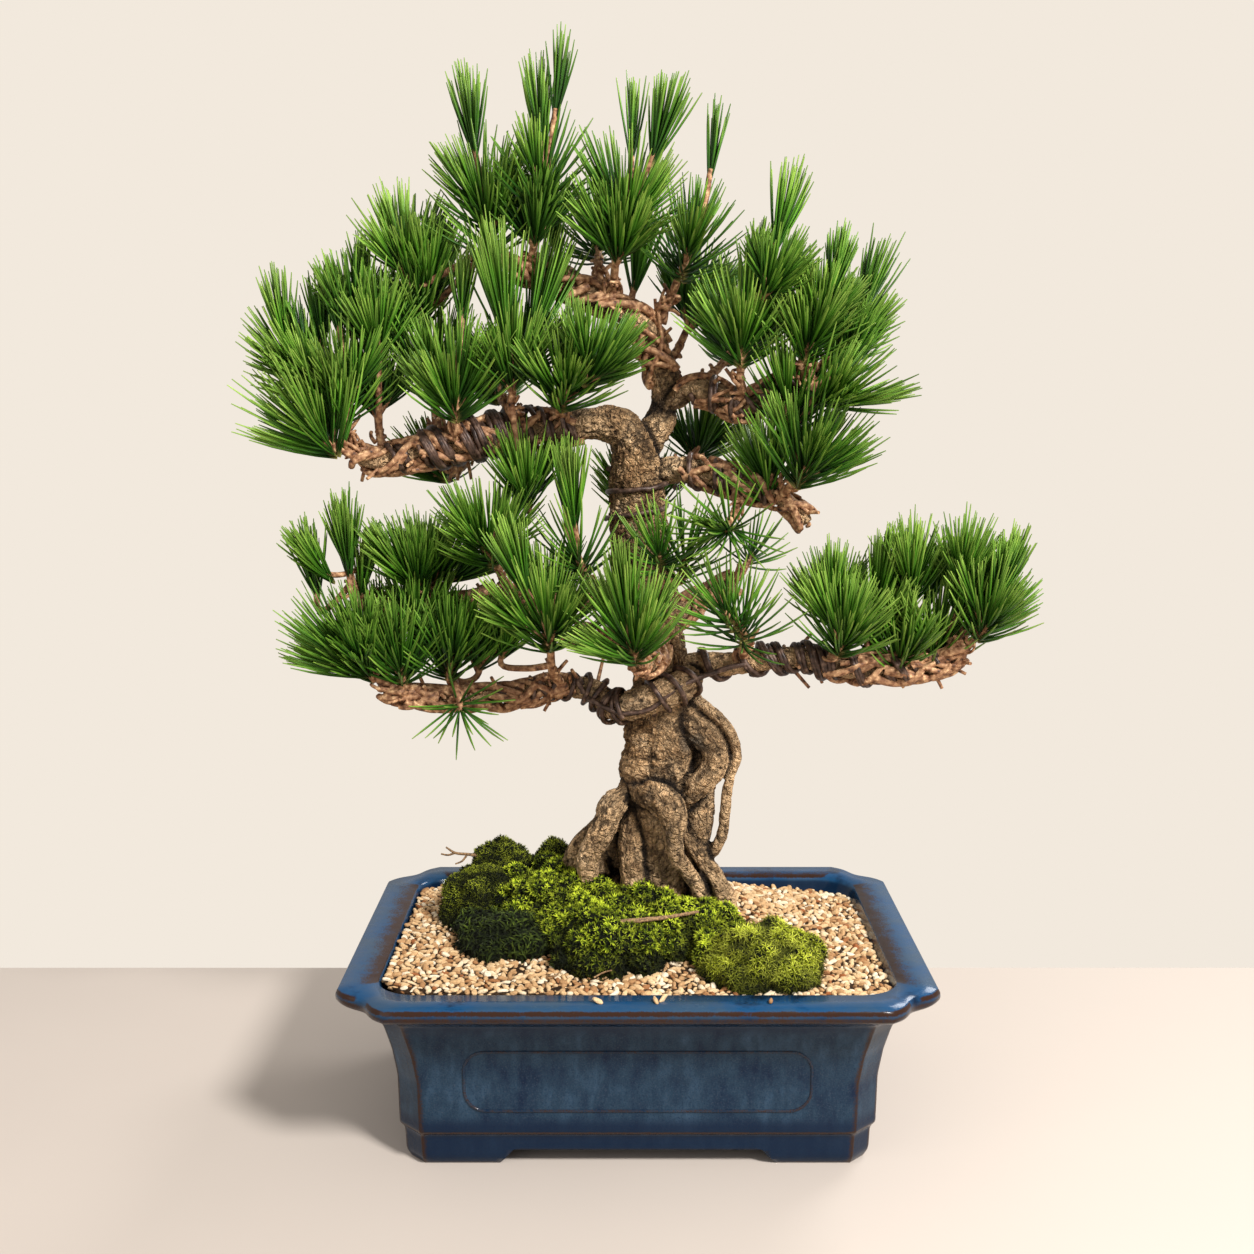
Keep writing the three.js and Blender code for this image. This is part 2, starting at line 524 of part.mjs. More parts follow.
// A square of plastic mesh that lies over a drain hole, and the plain plate that it takes up.
const screenPlate = (x, extra) => {
  const size = SCREEN.size + 2 * extra;
  return box(size, size, SCREEN.thick + 2 * extra, x, DRAIN.y, POT_FLOOR + GAP + SCREEN.thick / 2);
};

function drainScreen(x) {
  const pitch = SCREEN.size / SCREEN.cells;
  const hole = pitch - SCREEN.bar;
  const middle = (SCREEN.cells - 1) / 2;
  const holes = Array.from({ length: SCREEN.cells ** 2 }, (_, i) => {
    const column = (i % SCREEN.cells) - middle;
    const line = Math.floor(i / SCREEN.cells) - middle;
    return box(hole, hole, POT_FLOOR, x + column * pitch, DRAIN.y + line * pitch, POT_FLOOR);
  });
  return screenPlate(x, 0).subtract(union(holes));
}

// ---------------------------------------------------------------- soil, moss

// Height of the soil's surface over the table, without the gravel's own bumps.
function soilHeight(x, y) {
  const { level, fallRight, fallBack, mound, at, reach } = SOIL;
  const away = ((x - at[0]) / reach[0]) ** 2 + ((y - at[1]) / reach[1]) ** 2;
  const fall = (fallRight * x) / (POT_WIDTH / 2) + (fallBack * y) / (POT_DEPTH / 2);
  return level - fall + mound * Math.exp(-away);
}

// The ground as a block whose top follows the soil and carries the gravel's bumps.
function groundBlock() {
  const [width, depth] = [POT_WIDTH, POT_DEPTH];
  const base = POT_FLOOR - PAST;
  const columns = Math.round(width / GRAVEL.grid);
  const lines = Math.round(depth / GRAVEL.grid);
  const geometry = new THREE.BoxGeometry(width, depth, 1, columns, lines, 1);
  const place = geometry.attributes.position;
  for (let i = 0; i < place.count; i += 1) {
    const [x, y] = [place.getX(i), place.getY(i)];
    const top = soilHeight(x, y) + GRAVEL.height * grain(Math.round(x * 10), Math.round(y * 10));
    place.setZ(i, place.getZ(i) > 0 ? top : base);
  }
  return solid(geometry);
}

// Whether a place is clear of the moss and of the tree's foot.
function isOpenSoil(x, y) {
  const clumps = Object.values(MOSS).flatMap((moss) => moss.clumps);
  const offMoss = clumps.every(([atX, atY, halfWidth, halfDepth]) => {
    return Math.hypot((x - atX) / halfWidth, (y - atY) / halfDepth) > PEBBLE.offMoss;
  });
  return offMoss && Math.hypot(x - ROOT_MASS.at[0], y - ROOT_MASS.at[1]) > PEBBLE.offTrunk;
}

function pebbles() {
  const halfX = POT_WIDTH / 2 - PEBBLE.offWall;
  const halfY = POT_DEPTH / 2 - PEBBLE.offWall;
  const made = [];
  for (let y = -halfY; y <= halfY; y += PEBBLE.apart) {
    for (let x = -halfX; x <= halfX; x += PEBBLE.apart) {
      const atX = THREE.MathUtils.clamp(x + PEBBLE.shift * grain(x, y), -halfX, halfX);
      const atY = THREE.MathUtils.clamp(y + PEBBLE.shift * grain(y, x), -halfY, halfY);
      if (isOpenSoil(atX, atY)) {
        const stone = new THREE.OctahedronGeometry(1).scale(PEBBLE.wide, PEBBLE.wide, PEBBLE.high);
        stone.rotateZ(Math.PI * grain(atX, atY));
        made.push(solid(stone.translate(atX, atY, soilHeight(atX, atY) + PEBBLE.high / 4)));
      }
    }
  }
  return union(made);
}

function rootMass(extra) {
  const { at, top, bottom, topRadius, bottomRadius, squash, sides } = ROOT_MASS;
  const height = top - bottom + 2 * extra;
  const cone = new THREE.CylinderGeometry(topRadius + extra, bottomRadius + extra, height, sides);
  cone.rotateX(Math.PI / 2).scale(1, squash, 1).translate(at[0], at[1], (top + bottom) / 2);
  return solid(cone);
}

// ---------------------------------------------------------------- training wires

// Points of a helix round a limb, between two shares of the limb's length.
function coilPoints({ limb: name, from, to, turns }) {
  const { curve, radiusAt } = limbLine(LIMBS[name]);
  const frames = curve.computeFrenetFrames(LIMB_SAMPLES);
  const steps = Math.round(turns * WIRE.stepsPerTurn);
  const hug = Math.cos(Math.PI / WIRE.stepsPerTurn);
  return Array.from({ length: steps + 1 }, (_, i) => {
    const share = THREE.MathUtils.lerp(from, to, i / steps);
    const angle = (i / WIRE.stepsPerTurn) * 2 * Math.PI;
    const ring = Math.round(share * LIMB_SAMPLES);
    const radius = (radiusAt(share) + GAP + WIRE_RADIUS) / hug;
    return curve.getPointAt(share)
      .addScaledVector(frames.normals[ring], radius * Math.cos(angle))
      .addScaledVector(frames.binormals[ring], radius * Math.sin(angle));
  });
}

const wireRows = (points) => points.map((p) => [p.x, p.y, p.z, WIRE_RADIUS]);

function wireRoutes() {
  const lowerLeft = coilPoints(COILS.lowerLeft);
  const lowerRight = coilPoints(COILS.lowerRight);
  return {
    wire_left_branch: wireRows(coilPoints(COILS.leftBranch)),
    wire_trunk_bend: wireRows(coilPoints(COILS.trunkBend)),
    wire_upper_right: wireRows(coilPoints(COILS.upperRight)),
    wire_mid_right: wireRows(coilPoints(COILS.midRight)),
    wire_lower_pair: wireRows([...lowerLeft, ...CROSSING.map(point), ...lowerRight]),
  };
}

const wireSolid = (rows, extra = 0) => limb(rows, WIRE.sides, rows.length - 1, extra);

// ---------------------------------------------------------------- twigs and shoots

// The place on a limb from which a twig leaves for a point: the nearest one, moved back a little.
function twigRoot(limbName, foot) {
  const { curve } = limbLine(LIMBS[limbName]);
  const away = curve.getSpacedPoints(LIMB_SAMPLES).map((place) => place.distanceTo(foot));
  const least = Math.min(...away);
  const back = (TWIG.setBack * least) / curve.getLength();
  return curve.getPointAt(Math.max(away.indexOf(least) / LIMB_SAMPLES - back, TWIG.lowest));
}

// Rows of the woody twig that carries a shoot. It ends just short of the shoot's foot.
function twigRows({ on, stem }) {
  const foot = point(stem[0]);
  const growth = point(stem[1]).sub(foot).normalize();
  const root = twigRoot(on, foot);
  const bend = foot.clone().addScaledVector(growth, -TWIG.bend * root.distanceTo(foot));
  const end = foot.clone().addScaledVector(growth, -TWIG.gap);
  const places = new THREE.QuadraticBezierCurve3(root, bend, end).getPoints(4);
  return places.map((p, i) => {
    const share = i / (places.length - 1);
    return [p.x, p.y, p.z, THREE.MathUtils.lerp(TWIG.footRadius, TWIG.tipRadius, share)];
  });
}

// The shoot's stems as rows: the main one first, then its sides.
function shootStems({ stem, sides = [] }) {
  const radiusAt = (i) => THREE.MathUtils.lerp(SHOOT.footRadius, SHOOT.tipRadius, i / (stem.length - 1));
  const main = stem.map((p, i) => [...p, radiusAt(i)]);
  const branches = sides.map(([from, end]) => {
    const start = point(stem[from]);
    if (from === 0) start.lerp(point(stem[1]), SHOOT.firstFork);
    const middle = start.clone().lerp(point(end), 0.5);
    return [start, middle, point(end)].map((p) => [p.x, p.y, p.z, SHOOT.tipRadius]);
  });
  return [main, ...branches];
}

// ---------------------------------------------------------------- needles

const UP = new THREE.Vector3(0, 0, 1);
const RIGHT = new THREE.Vector3(1, 0, 0);
const BAR_LENGTH = 6;

// Straight bars along a limb, for finding out whether a needle has room.
function barsOf(rows, owner) {
  const { curve, radiusAt } = limbLine(rows);
  const steps = Math.max(2, Math.ceil(curve.getLength() / BAR_LENGTH));
  return Array.from({ length: steps }, (_, i) => {
    const line = new THREE.Line3(curve.getPointAt(i / steps), curve.getPointAt((i + 1) / steps));
    return bar(line, radiusAt(i / steps), owner);
  });
}

function bar(line, radius, owner) {
  const middle = line.getCenter(new THREE.Vector3());
  return { line, radius, owner, middle, reach: line.distance() / 2 + radius };
}

const [nearA, nearB] = [new THREE.Vector3(), new THREE.Vector3()];

function hasRoom(needle, bars) {
  return bars.every((other) => {
    if (other.owner === needle.owner) return true;
    const far = needle.middle.distanceTo(other.middle) - needle.reach - other.reach;
    if (far > NEEDLE.clearance) return true;
    const apart = Math.sqrt(needle.line.distanceSqToLine3(other.line, nearA, nearB));
    return apart > needle.radius + other.radius + NEEDLE.clearance;
  });
}

// The straight stretch of stem that ends at one of the shoot's numbered points.
function stretchTo({ stem, sides = [] }, number) {
  if (number < stem.length) return [point(stem[number - 1]), point(stem[number])];
  const [from, end] = sides[number - stem.length];
  return [point(stem[from]), point(end)];
}

// One needle of a tuft, turned aside until it has room, or nothing if it finds none.
function freeNeedle({ root, growth, across, lean, turn, reach }, owner, bars) {
  for (let attempt = 0; attempt < NEEDLE.tries; attempt += 1) {
    const sway = THREE.MathUtils.degToRad(NEEDLE.sway) * (attempt / NEEDLE.swayTries);
    const way = growth.clone().applyAxisAngle(across, lean + sway * (chance() - 0.5));
    way.applyAxisAngle(growth, turn + 2 * sway * (chance() - 0.5));
    const end = root.clone().addScaledVector(way, reach);
    const needle = bar(new THREE.Line3(root, end), NEEDLE.radius, owner);
    if (hasRoom(needle, bars)) return needle;
  }
  return null;
}

// The needles of one tuft, spread evenly round the stem.
function tuftNeedles(shoot, owner, [number, kind, ownLength], bars) {
  const { spread, count, length } = TUFTS[kind];
  const [start, tip] = stretchTo(shoot, number);
  const growth = tip.clone().sub(start).normalize();
  const whorl = Math.min(NEEDLE.whorl, tip.distanceTo(start) - SHOOT.tipRadius);
  const steep = Math.abs(growth.z) > 0.9;
  const across = new THREE.Vector3().crossVectors(growth, steep ? RIGHT : UP).normalize();
  const needles = [];
  for (let i = 0; i < count; i += 1) {
    const share = (i + 0.5) / count;
    const lean = THREE.MathUtils.degToRad(spread) * Math.sqrt(share);
    const turn = i * GOLDEN_ANGLE + NEEDLE.jitter * chance();
    const root = tip.clone().addScaledVector(growth, -whorl * share - NEEDLE.inset);
    const reach = (ownLength ?? length) * (1 + NEEDLE.lengthSpread * (chance() - 0.7));
    const needle = freeNeedle({ root, growth, across, lean, turn, reach }, owner, bars);
    if (needle === null) continue;
    needles.push(needle);
    bars.push(needle);
  }
  return needles;
}

function needleSolid({ line }) {
  const length = line.distance();
  const cone = new THREE.ConeGeometry(NEEDLE.radius, length, NEEDLE.sides).rotateX(Math.PI / 2);
  cone.translate(0, 0, length / 2);
  const way = line.delta(new THREE.Vector3()).normalize();
  cone.applyQuaternion(new THREE.Quaternion().setFromUnitVectors(UP, way));
  return solid(cone.translate(line.start.x, line.start.y, line.start.z));
}

// ---------------------------------------------------------------- the tree and its parts

const group = new THREE.Group();

function addMesh(name, geometry, colour, roughness, metalness = 0) {
  const material = new THREE.MeshStandardMaterial({ color: colour, roughness, metalness });
  const mesh = new THREE.Mesh(geometry, material);
  mesh.name = name;
  group.add(mesh);
  return mesh;
}

const wires = wireRoutes();
const twigs = Object.values(SHOOTS).map(twigRows);

// The trunk has the most sides of the limbs.
const woodSides = (rows) => (rows === LIMBS.trunk ? WOOD.trunkSides : WOOD.sides);

function treeWood() {
  const limbs = Object.values(LIMBS).map((rows) => {
    return limb(rows, woodSides(rows), Math.round(rows.length * WOOD.ringsPerRow));
  });
  const roots = Object.values(ROOTS).map((rows) => limb(rows, WOOD.sides, rows.length - 1));
  const sprigs = twigs.map((rows) => limb(rows, WOOD.twigSides, 1));
  const grooves = Object.values(wires).map((rows) => wireSolid(rows, GAP));
  return union([...limbs, ...roots, ...sprigs, rootMass(0)]).subtract(union(grooves));
}

// Everything of the tree that the soil and the moss must leave room for.
function treeFoot(extra) {
  const roots = Object.values(ROOTS).map((rows) => limb(rows, WOOD.sides, rows.length - 1, extra));
  const trunk = limb(LIMBS.trunk, WOOD.trunkSides, LIMBS.trunk.length - 1, extra);
  return union([trunk, ...roots, rootMass(extra)]);
}

const foot = treeFoot(GAP);
const ground = groundBlock().add(pebbles());

function soil() {
  const screens = [-DRAIN.x, DRAIN.x].map((x) => screenPlate(x, GAP));
  return ground.intersect(potInside(-GAP)).subtract(union([foot, ...screens]));
}

const stickSolid = (extra) => limb(STICK, WOOD.sides, 2 * STICK.length, extra);

// Clumps of moss, each cut back to the soil, the roots and the clumps made before it.
function mossSolids() {
  const bed = ground.translate(0, 0, GAP);
  const stick = stickSolid(GAP);
  let taken = union([foot, bed, stick]);
  return Object.entries(MOSS).map(([name, { colour, clumps }]) => {
    const shape = union(clumps.map((clump) => dome(clump, 0))).subtract(taken);
    taken = taken.add(union(clumps.map((clump) => dome(clump, GAP))));
    return { name, colour, shape };
  });
}

addMesh('pot', geometryOf(tidy(pot())), COLOURS.glaze, 0.25);
addMesh('drain_screen_left', geometryOf(drainScreen(-DRAIN.x)), COLOURS.screen, 0.6);
addMesh('drain_screen_right', geometryOf(drainScreen(DRAIN.x)), COLOURS.screen, 0.6);
addMesh('soil', geometryOf(tidy(soil())), COLOURS.grit, 0.95);
addMesh('tree_wood', geometryOf(tidy(treeWood())), COLOURS.bark, 0.9);
mossSolids().forEach(({ name, colour, shape }) => {
  addMesh(name, geometryOf(tidy(shape)), COLOURS[colour], 0.95);
});
addMesh('fallen_stick', geometryOf(stickSolid(0)), COLOURS.stick, 0.9);
Object.entries(wires).forEach(([name, rows]) => {
  addMesh(name, geometryOf(wireSolid(rows)), COLOURS.wire, 0.5, 0.4);
});

// Room taken by wood, wires and stems; each needle adds itself as it is placed.
const bars = [
  ...Object.values(LIMBS).flatMap((rows) => barsOf(rows, 'wood')),
  ...twigs.flatMap((rows) => barsOf(rows, 'wood')),
  ...Object.values(wires).flatMap((rows) => barsOf(rows, 'wire')),
  ...Object.entries(SHOOTS).flatMap(([name, shoot]) => {
    return shootStems(shoot).flatMap((rows) => barsOf(rows, name));
  }),
];

Object.entries(SHOOTS).forEach(([name, shoot], i) => {
  const stems = shootStems(shoot).map((rows) => limb(rows, SHOOT.sides, rows.length - 1));
  const needles = shoot.tufts.flatMap((tuft) => tuftNeedles(shoot, name, tuft, bars));
  const shape = tidy(union([...stems, ...needles.map(needleSolid)]));
  const home = point(shoot.stem[0]);
  const geometry = geometryOf(shape).translate(-home.x, -home.y, -home.z);
  const green = NEEDLE_GREENS[i % NEEDLE_GREENS.length];
  addMesh(`spray_${name}`, geometry, green, 0.6).position.copy(home);
});

export default group;
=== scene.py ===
"""A bonsai pine in a glazed pot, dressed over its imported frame.

The tables are in millimetres and the meshes in metres. The origin is on the table under the
middle of the pot, +X runs to the right, +Y to the back and +Z up.
"""

import bmesh
import bpy
import numpy as np
from bpy.props import FloatProperty, FloatVectorProperty, IntProperty, PointerProperty
from bpy.types import Operator, Panel, PropertyGroup
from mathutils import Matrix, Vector
from mathutils.bvhtree import BVHTree
from mathutils.kdtree import KDTree
from numpy.linalg import norm


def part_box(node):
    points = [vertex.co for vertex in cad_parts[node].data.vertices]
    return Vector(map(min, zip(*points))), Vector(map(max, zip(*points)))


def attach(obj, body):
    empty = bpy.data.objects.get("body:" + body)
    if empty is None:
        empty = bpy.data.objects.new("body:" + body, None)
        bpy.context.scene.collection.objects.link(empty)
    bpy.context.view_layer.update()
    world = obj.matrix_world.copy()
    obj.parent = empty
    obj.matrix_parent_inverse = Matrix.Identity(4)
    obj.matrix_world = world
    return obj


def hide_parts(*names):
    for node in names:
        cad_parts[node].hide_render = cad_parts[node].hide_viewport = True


bl_info = {
    "name": "Potted bonsai pine",
    "version": (1, 0, 0),
    "blender": (4, 5, 0),
    "location": "3D View > Sidebar > Bonsai",
    "description": "Makes the wood, needles, moss, grit, wires and glaze of a potted bonsai pine",
    "category": "Object",
}

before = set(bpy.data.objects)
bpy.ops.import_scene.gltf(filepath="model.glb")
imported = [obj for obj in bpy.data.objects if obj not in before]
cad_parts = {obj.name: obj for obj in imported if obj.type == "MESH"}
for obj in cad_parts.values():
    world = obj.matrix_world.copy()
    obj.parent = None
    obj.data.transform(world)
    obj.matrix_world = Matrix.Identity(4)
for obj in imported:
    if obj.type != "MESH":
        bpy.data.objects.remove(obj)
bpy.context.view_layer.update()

MM = 0.001
GOLDEN_ANGLE = np.pi * (3 - 5**0.5)


def rows_in(text):
    """Rows of numbers and words, with commas between the rows."""
    rows = (row.split() for row in text.split(",") if row.strip())
    return [tuple(word if word.isalpha() else float(word) for word in row) for row in rows]


def table(text):
    """Lists of rows by name, from entries such as 'name: 1 2 3, 4 5 6: 7 word;'."""
    entries = (entry.split(":") for entry in text.split(";")[:-1])
    return {name.strip(): [rows_in(part) for part in parts] for name, *parts in entries}


def lists_in(text):
    """As a table, for entries that each hold one list."""
    return {name: rows for name, (rows,) in table(text).items()}


# -------- the pot and the stage

POT_WIDTH, POT_DEPTH, POT_FLOOR = 300, 220, 18

# Pot walls: (height, inset from the rim's edge, length cut off each corner).
POT_OUTSIDE = [
    (0, 34, 8), (4, 31.5, 10), (17, 31, 10), (18.5, 28.4, 12), (45, 28, 12), (60, 25.8, 12),
    (73, 22.6, 12), (80, 19.3, 14), (85, 12, 19), (88, 3, 25), (90, 0, 28), (94.5, 0, 28),
    (96, 1.5, 27.5),
]
POT_INSIDE = [(96, 19.5, 20), (90, 22, 20), (80, 28.5, 18), (45, 35, 15), (POT_FLOOR, 39, 12)]

# A cut corner from its front end to its side end: (way along, swell of the S-curved lip,
# swell of a round corner), each as a share of the corner's length. The curve of the lip grows
# between two lengths of the corner.
CORNER_SHAPE = [(0, 0, 0), (0.2, 0.07, 0.2), (0.5, -0.09, 0.293), (0.8, 0.07, 0.2), (1, 0, 0)]
LIP_CORNER_START, LIP_CORNER_FULL = 14, 28
CORNER_STEPS, FRONT_STEPS, SIDE_STEPS = 14, 24, 18

FOOT_GAP_HEIGHT = 8.5
FOOT_GAP_FRONT, FOOT_GAP_SIDE = (142, 126), (88, 72)  # width at the table and at its top
FOOT_RING_INSET = 44
DRAIN_X, DRAIN_RADIUS = 62, 11
PANEL = {"bottom": 31, "top": 64, "front": 87, "side": 50, "corner": 11, "line": 0.8}

FLOOR_END = 184  # where the floor meets the background
# Lights: (name, place in metres, height that it aims at, size, share of the key light's power).
LIGHTS = (
    ("key", (0.72, -0.95, 1.15), 0.2, 0.3, 1.0), ("fill", (-1.2, -1.1, 0.7), 0.25, 1.4, 0.14),
    ("rim", (0.9, 0.9, 1.0), 0.3, 0.5, 0.25),
)

# -------- soil, grit and moss

SOIL = {"level": 92, "right": 3, "back": 3, "mound": 22, "at": (8, 30), "reach": (70, 55)}
EARTH_SINK, EARTH_BOTTOM = 0.6, POT_FLOOR + 3.2
GRIT_INSET, GRIT_CORNER = 23, 14  # the grit's edge and cut corners, inside the rim
GRIT_COLUMNS, GRIT_LINES = 181, 121
# Layers of grit: (name, side of the pot, roundness, spread, depth in the soil).
GRIT_LAYERS = (
    ("upper_left", -1, 2, 1.0, 0.2), ("upper_right", 1, 2, 1.0, 0.2), ("lower", 0, 1, 0.9, 1.6),
)
STRAYS = [(-30, -97), (-20, -99.5), (9, -98.5), (12, -96), (64, -99)]  # grains on the rim
STRAY_HEIGHT = 97.2

# Clumps of moss, and lower moss that joins them: (x, y, half width, half depth, height).
MOSS = lists_in("""
moss_balls_back: -79 68 21 21 25, -48 72 16 14 21;
moss_ball_left: -88 22 22 21 22;
moss_lime: 64 -58 29 26 21, 85 -36 12 12 9;
moss_dark: -68 -26 25 20 12, -86 -4 12 12 7;
moss_green: -42 6 34 24 14, -14 -40 31 27 17, 26 -20 30 26 13;
""")
MOSS_BETWEEN = lists_in("""
moss_green: -30 -18 27 21 12, 4 -34 20 16 10, 4 -6 24 16 10, -58 2 20 17 12, -62 32 19 17 14,
    -36 32 18 15 13, 44 -38 20 18 12, -52 50 16 13 14;
moss_lime: 46 -62 14 12 10;
moss_balls_back: -93 58 15 13 15, -64 66 16 14 17;
""")
MOSS_MOOD = (0.03, -0.05, 0.08, -0.1, 0.05, -0.02)  # lighter and darker clumps, in turn
# How each clump is covered: (leaf, slot, spacing, size of a leaf, height of the knobs).
MOSS_KINDS = {
    "moss_balls_back": ("tight", "moss_olive", 0.00125, 1.0, 0.004),
    "moss_ball_left": ("tight", "moss_olive", 0.0012, 1.0, 0.003),
    "moss_lime": ("fibre", "moss_lime", 0.0014, 1.0, 0.006),
    "moss_dark": ("frond", "moss_deep", 0.0021, 1.0, 0.006),
    "moss_green": ("star", "moss_fresh", 0.0020, 1.05, 0.011),
}
# Leaves: number of blades, sections of a blade, and (lean, turn, length, width, curl) of blade k.
LEAVES = {
    "star": (7, 2, lambda k: (0.25 + 0.95 * (k % 3) / 2, k * GOLDEN_ANGLE, 2.7, 0.85, 0.5)),
    "tight": (6, 2, lambda k: (0.15 + 0.75 * (k % 2), k * GOLDEN_ANGLE, 1.7, 0.55, 0.3)),
    "frond": (5, 3, lambda k: (0.5 + 0.1 * (k % 3), k * 2.1, 5.2, 1.1, 1.4)),
    "fibre": (6, 3, lambda k: (0.35 + 0.4 * (k % 2), k * GOLDEN_ANGLE, 3.4, 0.42, 1.1)),
}

STICK = [(-12, -50, 118.2, 1.4), (4, -44, 117.6, 1.3), (18, -38, 117.2, 1.1), (32, -33, 118, 0.8)]
# Dry litter: a forked twig beside the moss and bits of straw on the grit.
LITTER = [
    [(-88, 64, 117, 1.1), (-99, 62, 119, 0.9), (-106, 60, 120.5, 0.8), (-111, 58, 124.5, 0.5)],
    [(-106, 60, 120.5, 0.7), (-110, 59, 119.5, 0.6), (-114, 58, 120.5, 0.5)], [(-99, 62, 119, 0.7),
    (-102, 60, 115.5, 0.6), (-106, 59, 114, 0.4)], [(51, 1, 98, 0.6), (58, -2, 99.5, 0.55),
    (63, -2, 102.5, 0.4)], [(58, -2, 99.5, 0.5), (61, -5, 99.5, 0.4)], [(-22, -72, 97.5, 0.5),
    (-17, -70, 99.5, 0.45), (-13, -71, 101, 0.35)], [(-46, -70, 97.5, 0.5), (-41, -73, 99, 0.45),
    (-38, -71, 101.5, 0.35)],
]

# -------- wood and wires

# Limbs, as rows of x, y, z and radius. The trunk bends over at its top and runs on as the big left
# branch. lowerLeft leaves the trunk on its right and crosses its front.
LIMBS = lists_in("""
trunk: 12 28 100 25, 13 27 122 22, 14 26 145 20, 15 25 175 20.5, 17 24 198 19.5, 15 22 220 17.5,
    13 20 243 15, 8 20 268 16, 3 21 295 16.5, 0 22 322 16, 0 21 343 14.5, -2 19 358 12.5,
    -10 16 369 10.5, -24 13 371 8.5, -41 10 369 8, -62 6 367 7.5, -82 4 364 7.2, -103 2 359 6.6,
    -119 0 355 5.8, -134 -2 352 4.8, -147 -4 355 3.8;
apex: 1 22 348 9.5, 6 24 362 9.5, 14 26 378 8.5, 15 26 395 8, 10 25 410 7.5, 0 21 423 7,
    -14 18 433 6.2, -33 14 441 5.4, -48 10 446 4.8, -62 8 451 4, -73 8 455 3.2;
upperRight: 10 26 376 7, 28 18 388 6.2, 41 12 386 6, 54 8 380 5.6, 64 4 383 5.2, 79 0 393 4.8,
    91 -4 399 3.6;
midRight: 2 22 342 9, 19 18 346 7.5, 39 10 344 6.2, 58 4 338 5.6, 72 0 334 4.8, 83 -4 327 4,
    89 -6 320 3.2;
lowerRight: 13 22 236 9, 34 18 240 7.5, 58 10 243 6.4, 77 4 247 6, 95 0 246 6, 114 -2 242 5.6,
    136 -4 242 5.2, 152 -4 244 4.6, 163 -6 246 4, 173 -8 255 3.2;
lowerLeft: 32 18 236 6.5, 27 6 233 7.2, 19 1 230 7, 7 -1 225 6.8, -4 -1 221 6.6, -12 2 220 6.2,
    -19 6 225 5.6, -26 8 230 5.2, -36 7 230 4.6, -48 4 231 4.3, -60 2 227 4, -81 -2 227 3.7,
    -105 -4 226 3.4, -123 -6 228 3, -135 -8 233 2.6;
midLeft: 4 22 284 7.5, -20 30 274 5.6, -42 30 273 5, -64 26 275 4.6, -85 22 275 4.2,
    -107 16 271 3.8, -128 12 274 3.4, -146 8 279 2.8;
front: 12 16 252 6.5, 10 0 248 5, 6 -16 247 4.4, 2 -32 250 3.8;
lowBack: 5 28 300 8, 4 44 304 5.5, 3 56 309 4;
rightBack: 10 26 262 8, 26 40 267 5.5, 44 50 275 4.5, 56 54 281 3.6;
leftBack: 6 28 246 8, -12 42 247 5, -30 52 251 4, -40 55 254 3.2;
""")
TRUNK_SHARE = 0.62  # how much of the trunk's line is welded to the roots

# Roots. The arch is the thin one on the right, with a narrow gap between it and the trunk.
ROOTS = lists_in("""
arch: 30 17 222 4.5, 38 12 217 3.8, 46 9 211 3.4, 52 7 202 3.2, 54 7 191 3.2, 51 8 182 3.1,
    49 8 170 3.1, 48 8 158 3.2, 47 9 148 3.4, 40 11 134 4, 32 14 122 4.6;
knee: 25 16 213 8.5, 32 13 206 8.5, 40 9 199 7.6, 43 7 188 6.8, 36 7 178 6.4, 27 14 166 7;
flank: 30 22 194 9, 33 19 174 9.5, 34 17 156 8.5, 32 16 138 7.5, 30 18 110 7;
middle: 4 16 168 8, 11 7 170 9.5, 17 1 166 8.8, 20.5 -2 157 6.6, 20 -3 148 4.8, 22 -2 138 4.2,
    28 1 128 3.8, 34 4 119 4, 38 8 102 5.2;
centre: 0 26 164 8, -1 19 151 8, -2 13 138 7.6, -1 11 124 7.8, 2 11 112 8, 5 12 99 7;
left: -4 27 157 6, -9 19 163 7, -14 12 161.5 7.4, -17 9 154 7, -22 7 144 6.4, -27 8 134 5.8,
    -26 8 120 5, -23 11 100 5;
farLeft: -12 24 156 6, -24 26 144 4.8, -33 28 135 4.4, -38 31 121 4.6, -38 34 99 5;
right: 24 20 156 8, 30 13 143 5.6, 38 9 131 5.2, 45 7 119 5, 50 6 107 5, 50 10 94 5;
backRight: 22 36 150 9, 30 48 132 6.5, 36 58 115 6, 38 62 98 6;
backLeft: 2 38 150 9, -6 52 132 6.5, -12 62 113 6, -12 64 96 6;
""")
ROOT_SWELL = 0.7  # bark that the roots carry over their frame
ROOT_BALL = {"at": (8, 28), "top": 95, "bottom": 48, "radii": (47, 34), "squash": 0.85}

# Balls of wood that fill the hollows between the roots.
BURLS = rows_in("""
-6 34 150 12, -9 35 130 12, -12 36 112 11, 24 26 140 10, 22 28 116 11, -19 22 106 9, -20 31 121 8.5
""")
# Where the wood is thicker than its limbs: on the trunk, and on the branch that crosses it.
BULGES = [
    [(5, 25, 158, 12), (3.5, 24, 170, 13.2), (3.5, 23, 181, 14), (6, 22, 192, 13), (6, 22, 206, 13),
    (8, 22, 222, 12), (9, 21, 236, 10.5)], [(10, 24, 160, 14), (13, 22, 148, 13), (13, 22, 134, 12),
    (14, 22, 118, 12), (15, 24, 100, 12)], [(18, 14, 176, 9), (26, 13, 186, 8)],
]
LIMB_BULGES = [
    [(30, 10, 235, 8), (22, 2, 231, 8.6), (8, 0, 225.5, 8.6), (-4, 0, 221.5, 8.4),
    (-12, 3, 220.5, 7.8), (-19, 6, 225, 7.2), (-26, 8, 229, 6.6), (-36, 7, 230, 5.8),
    (-48, 4, 231, 5.2), (-60, 2, 228, 4.6)],
]
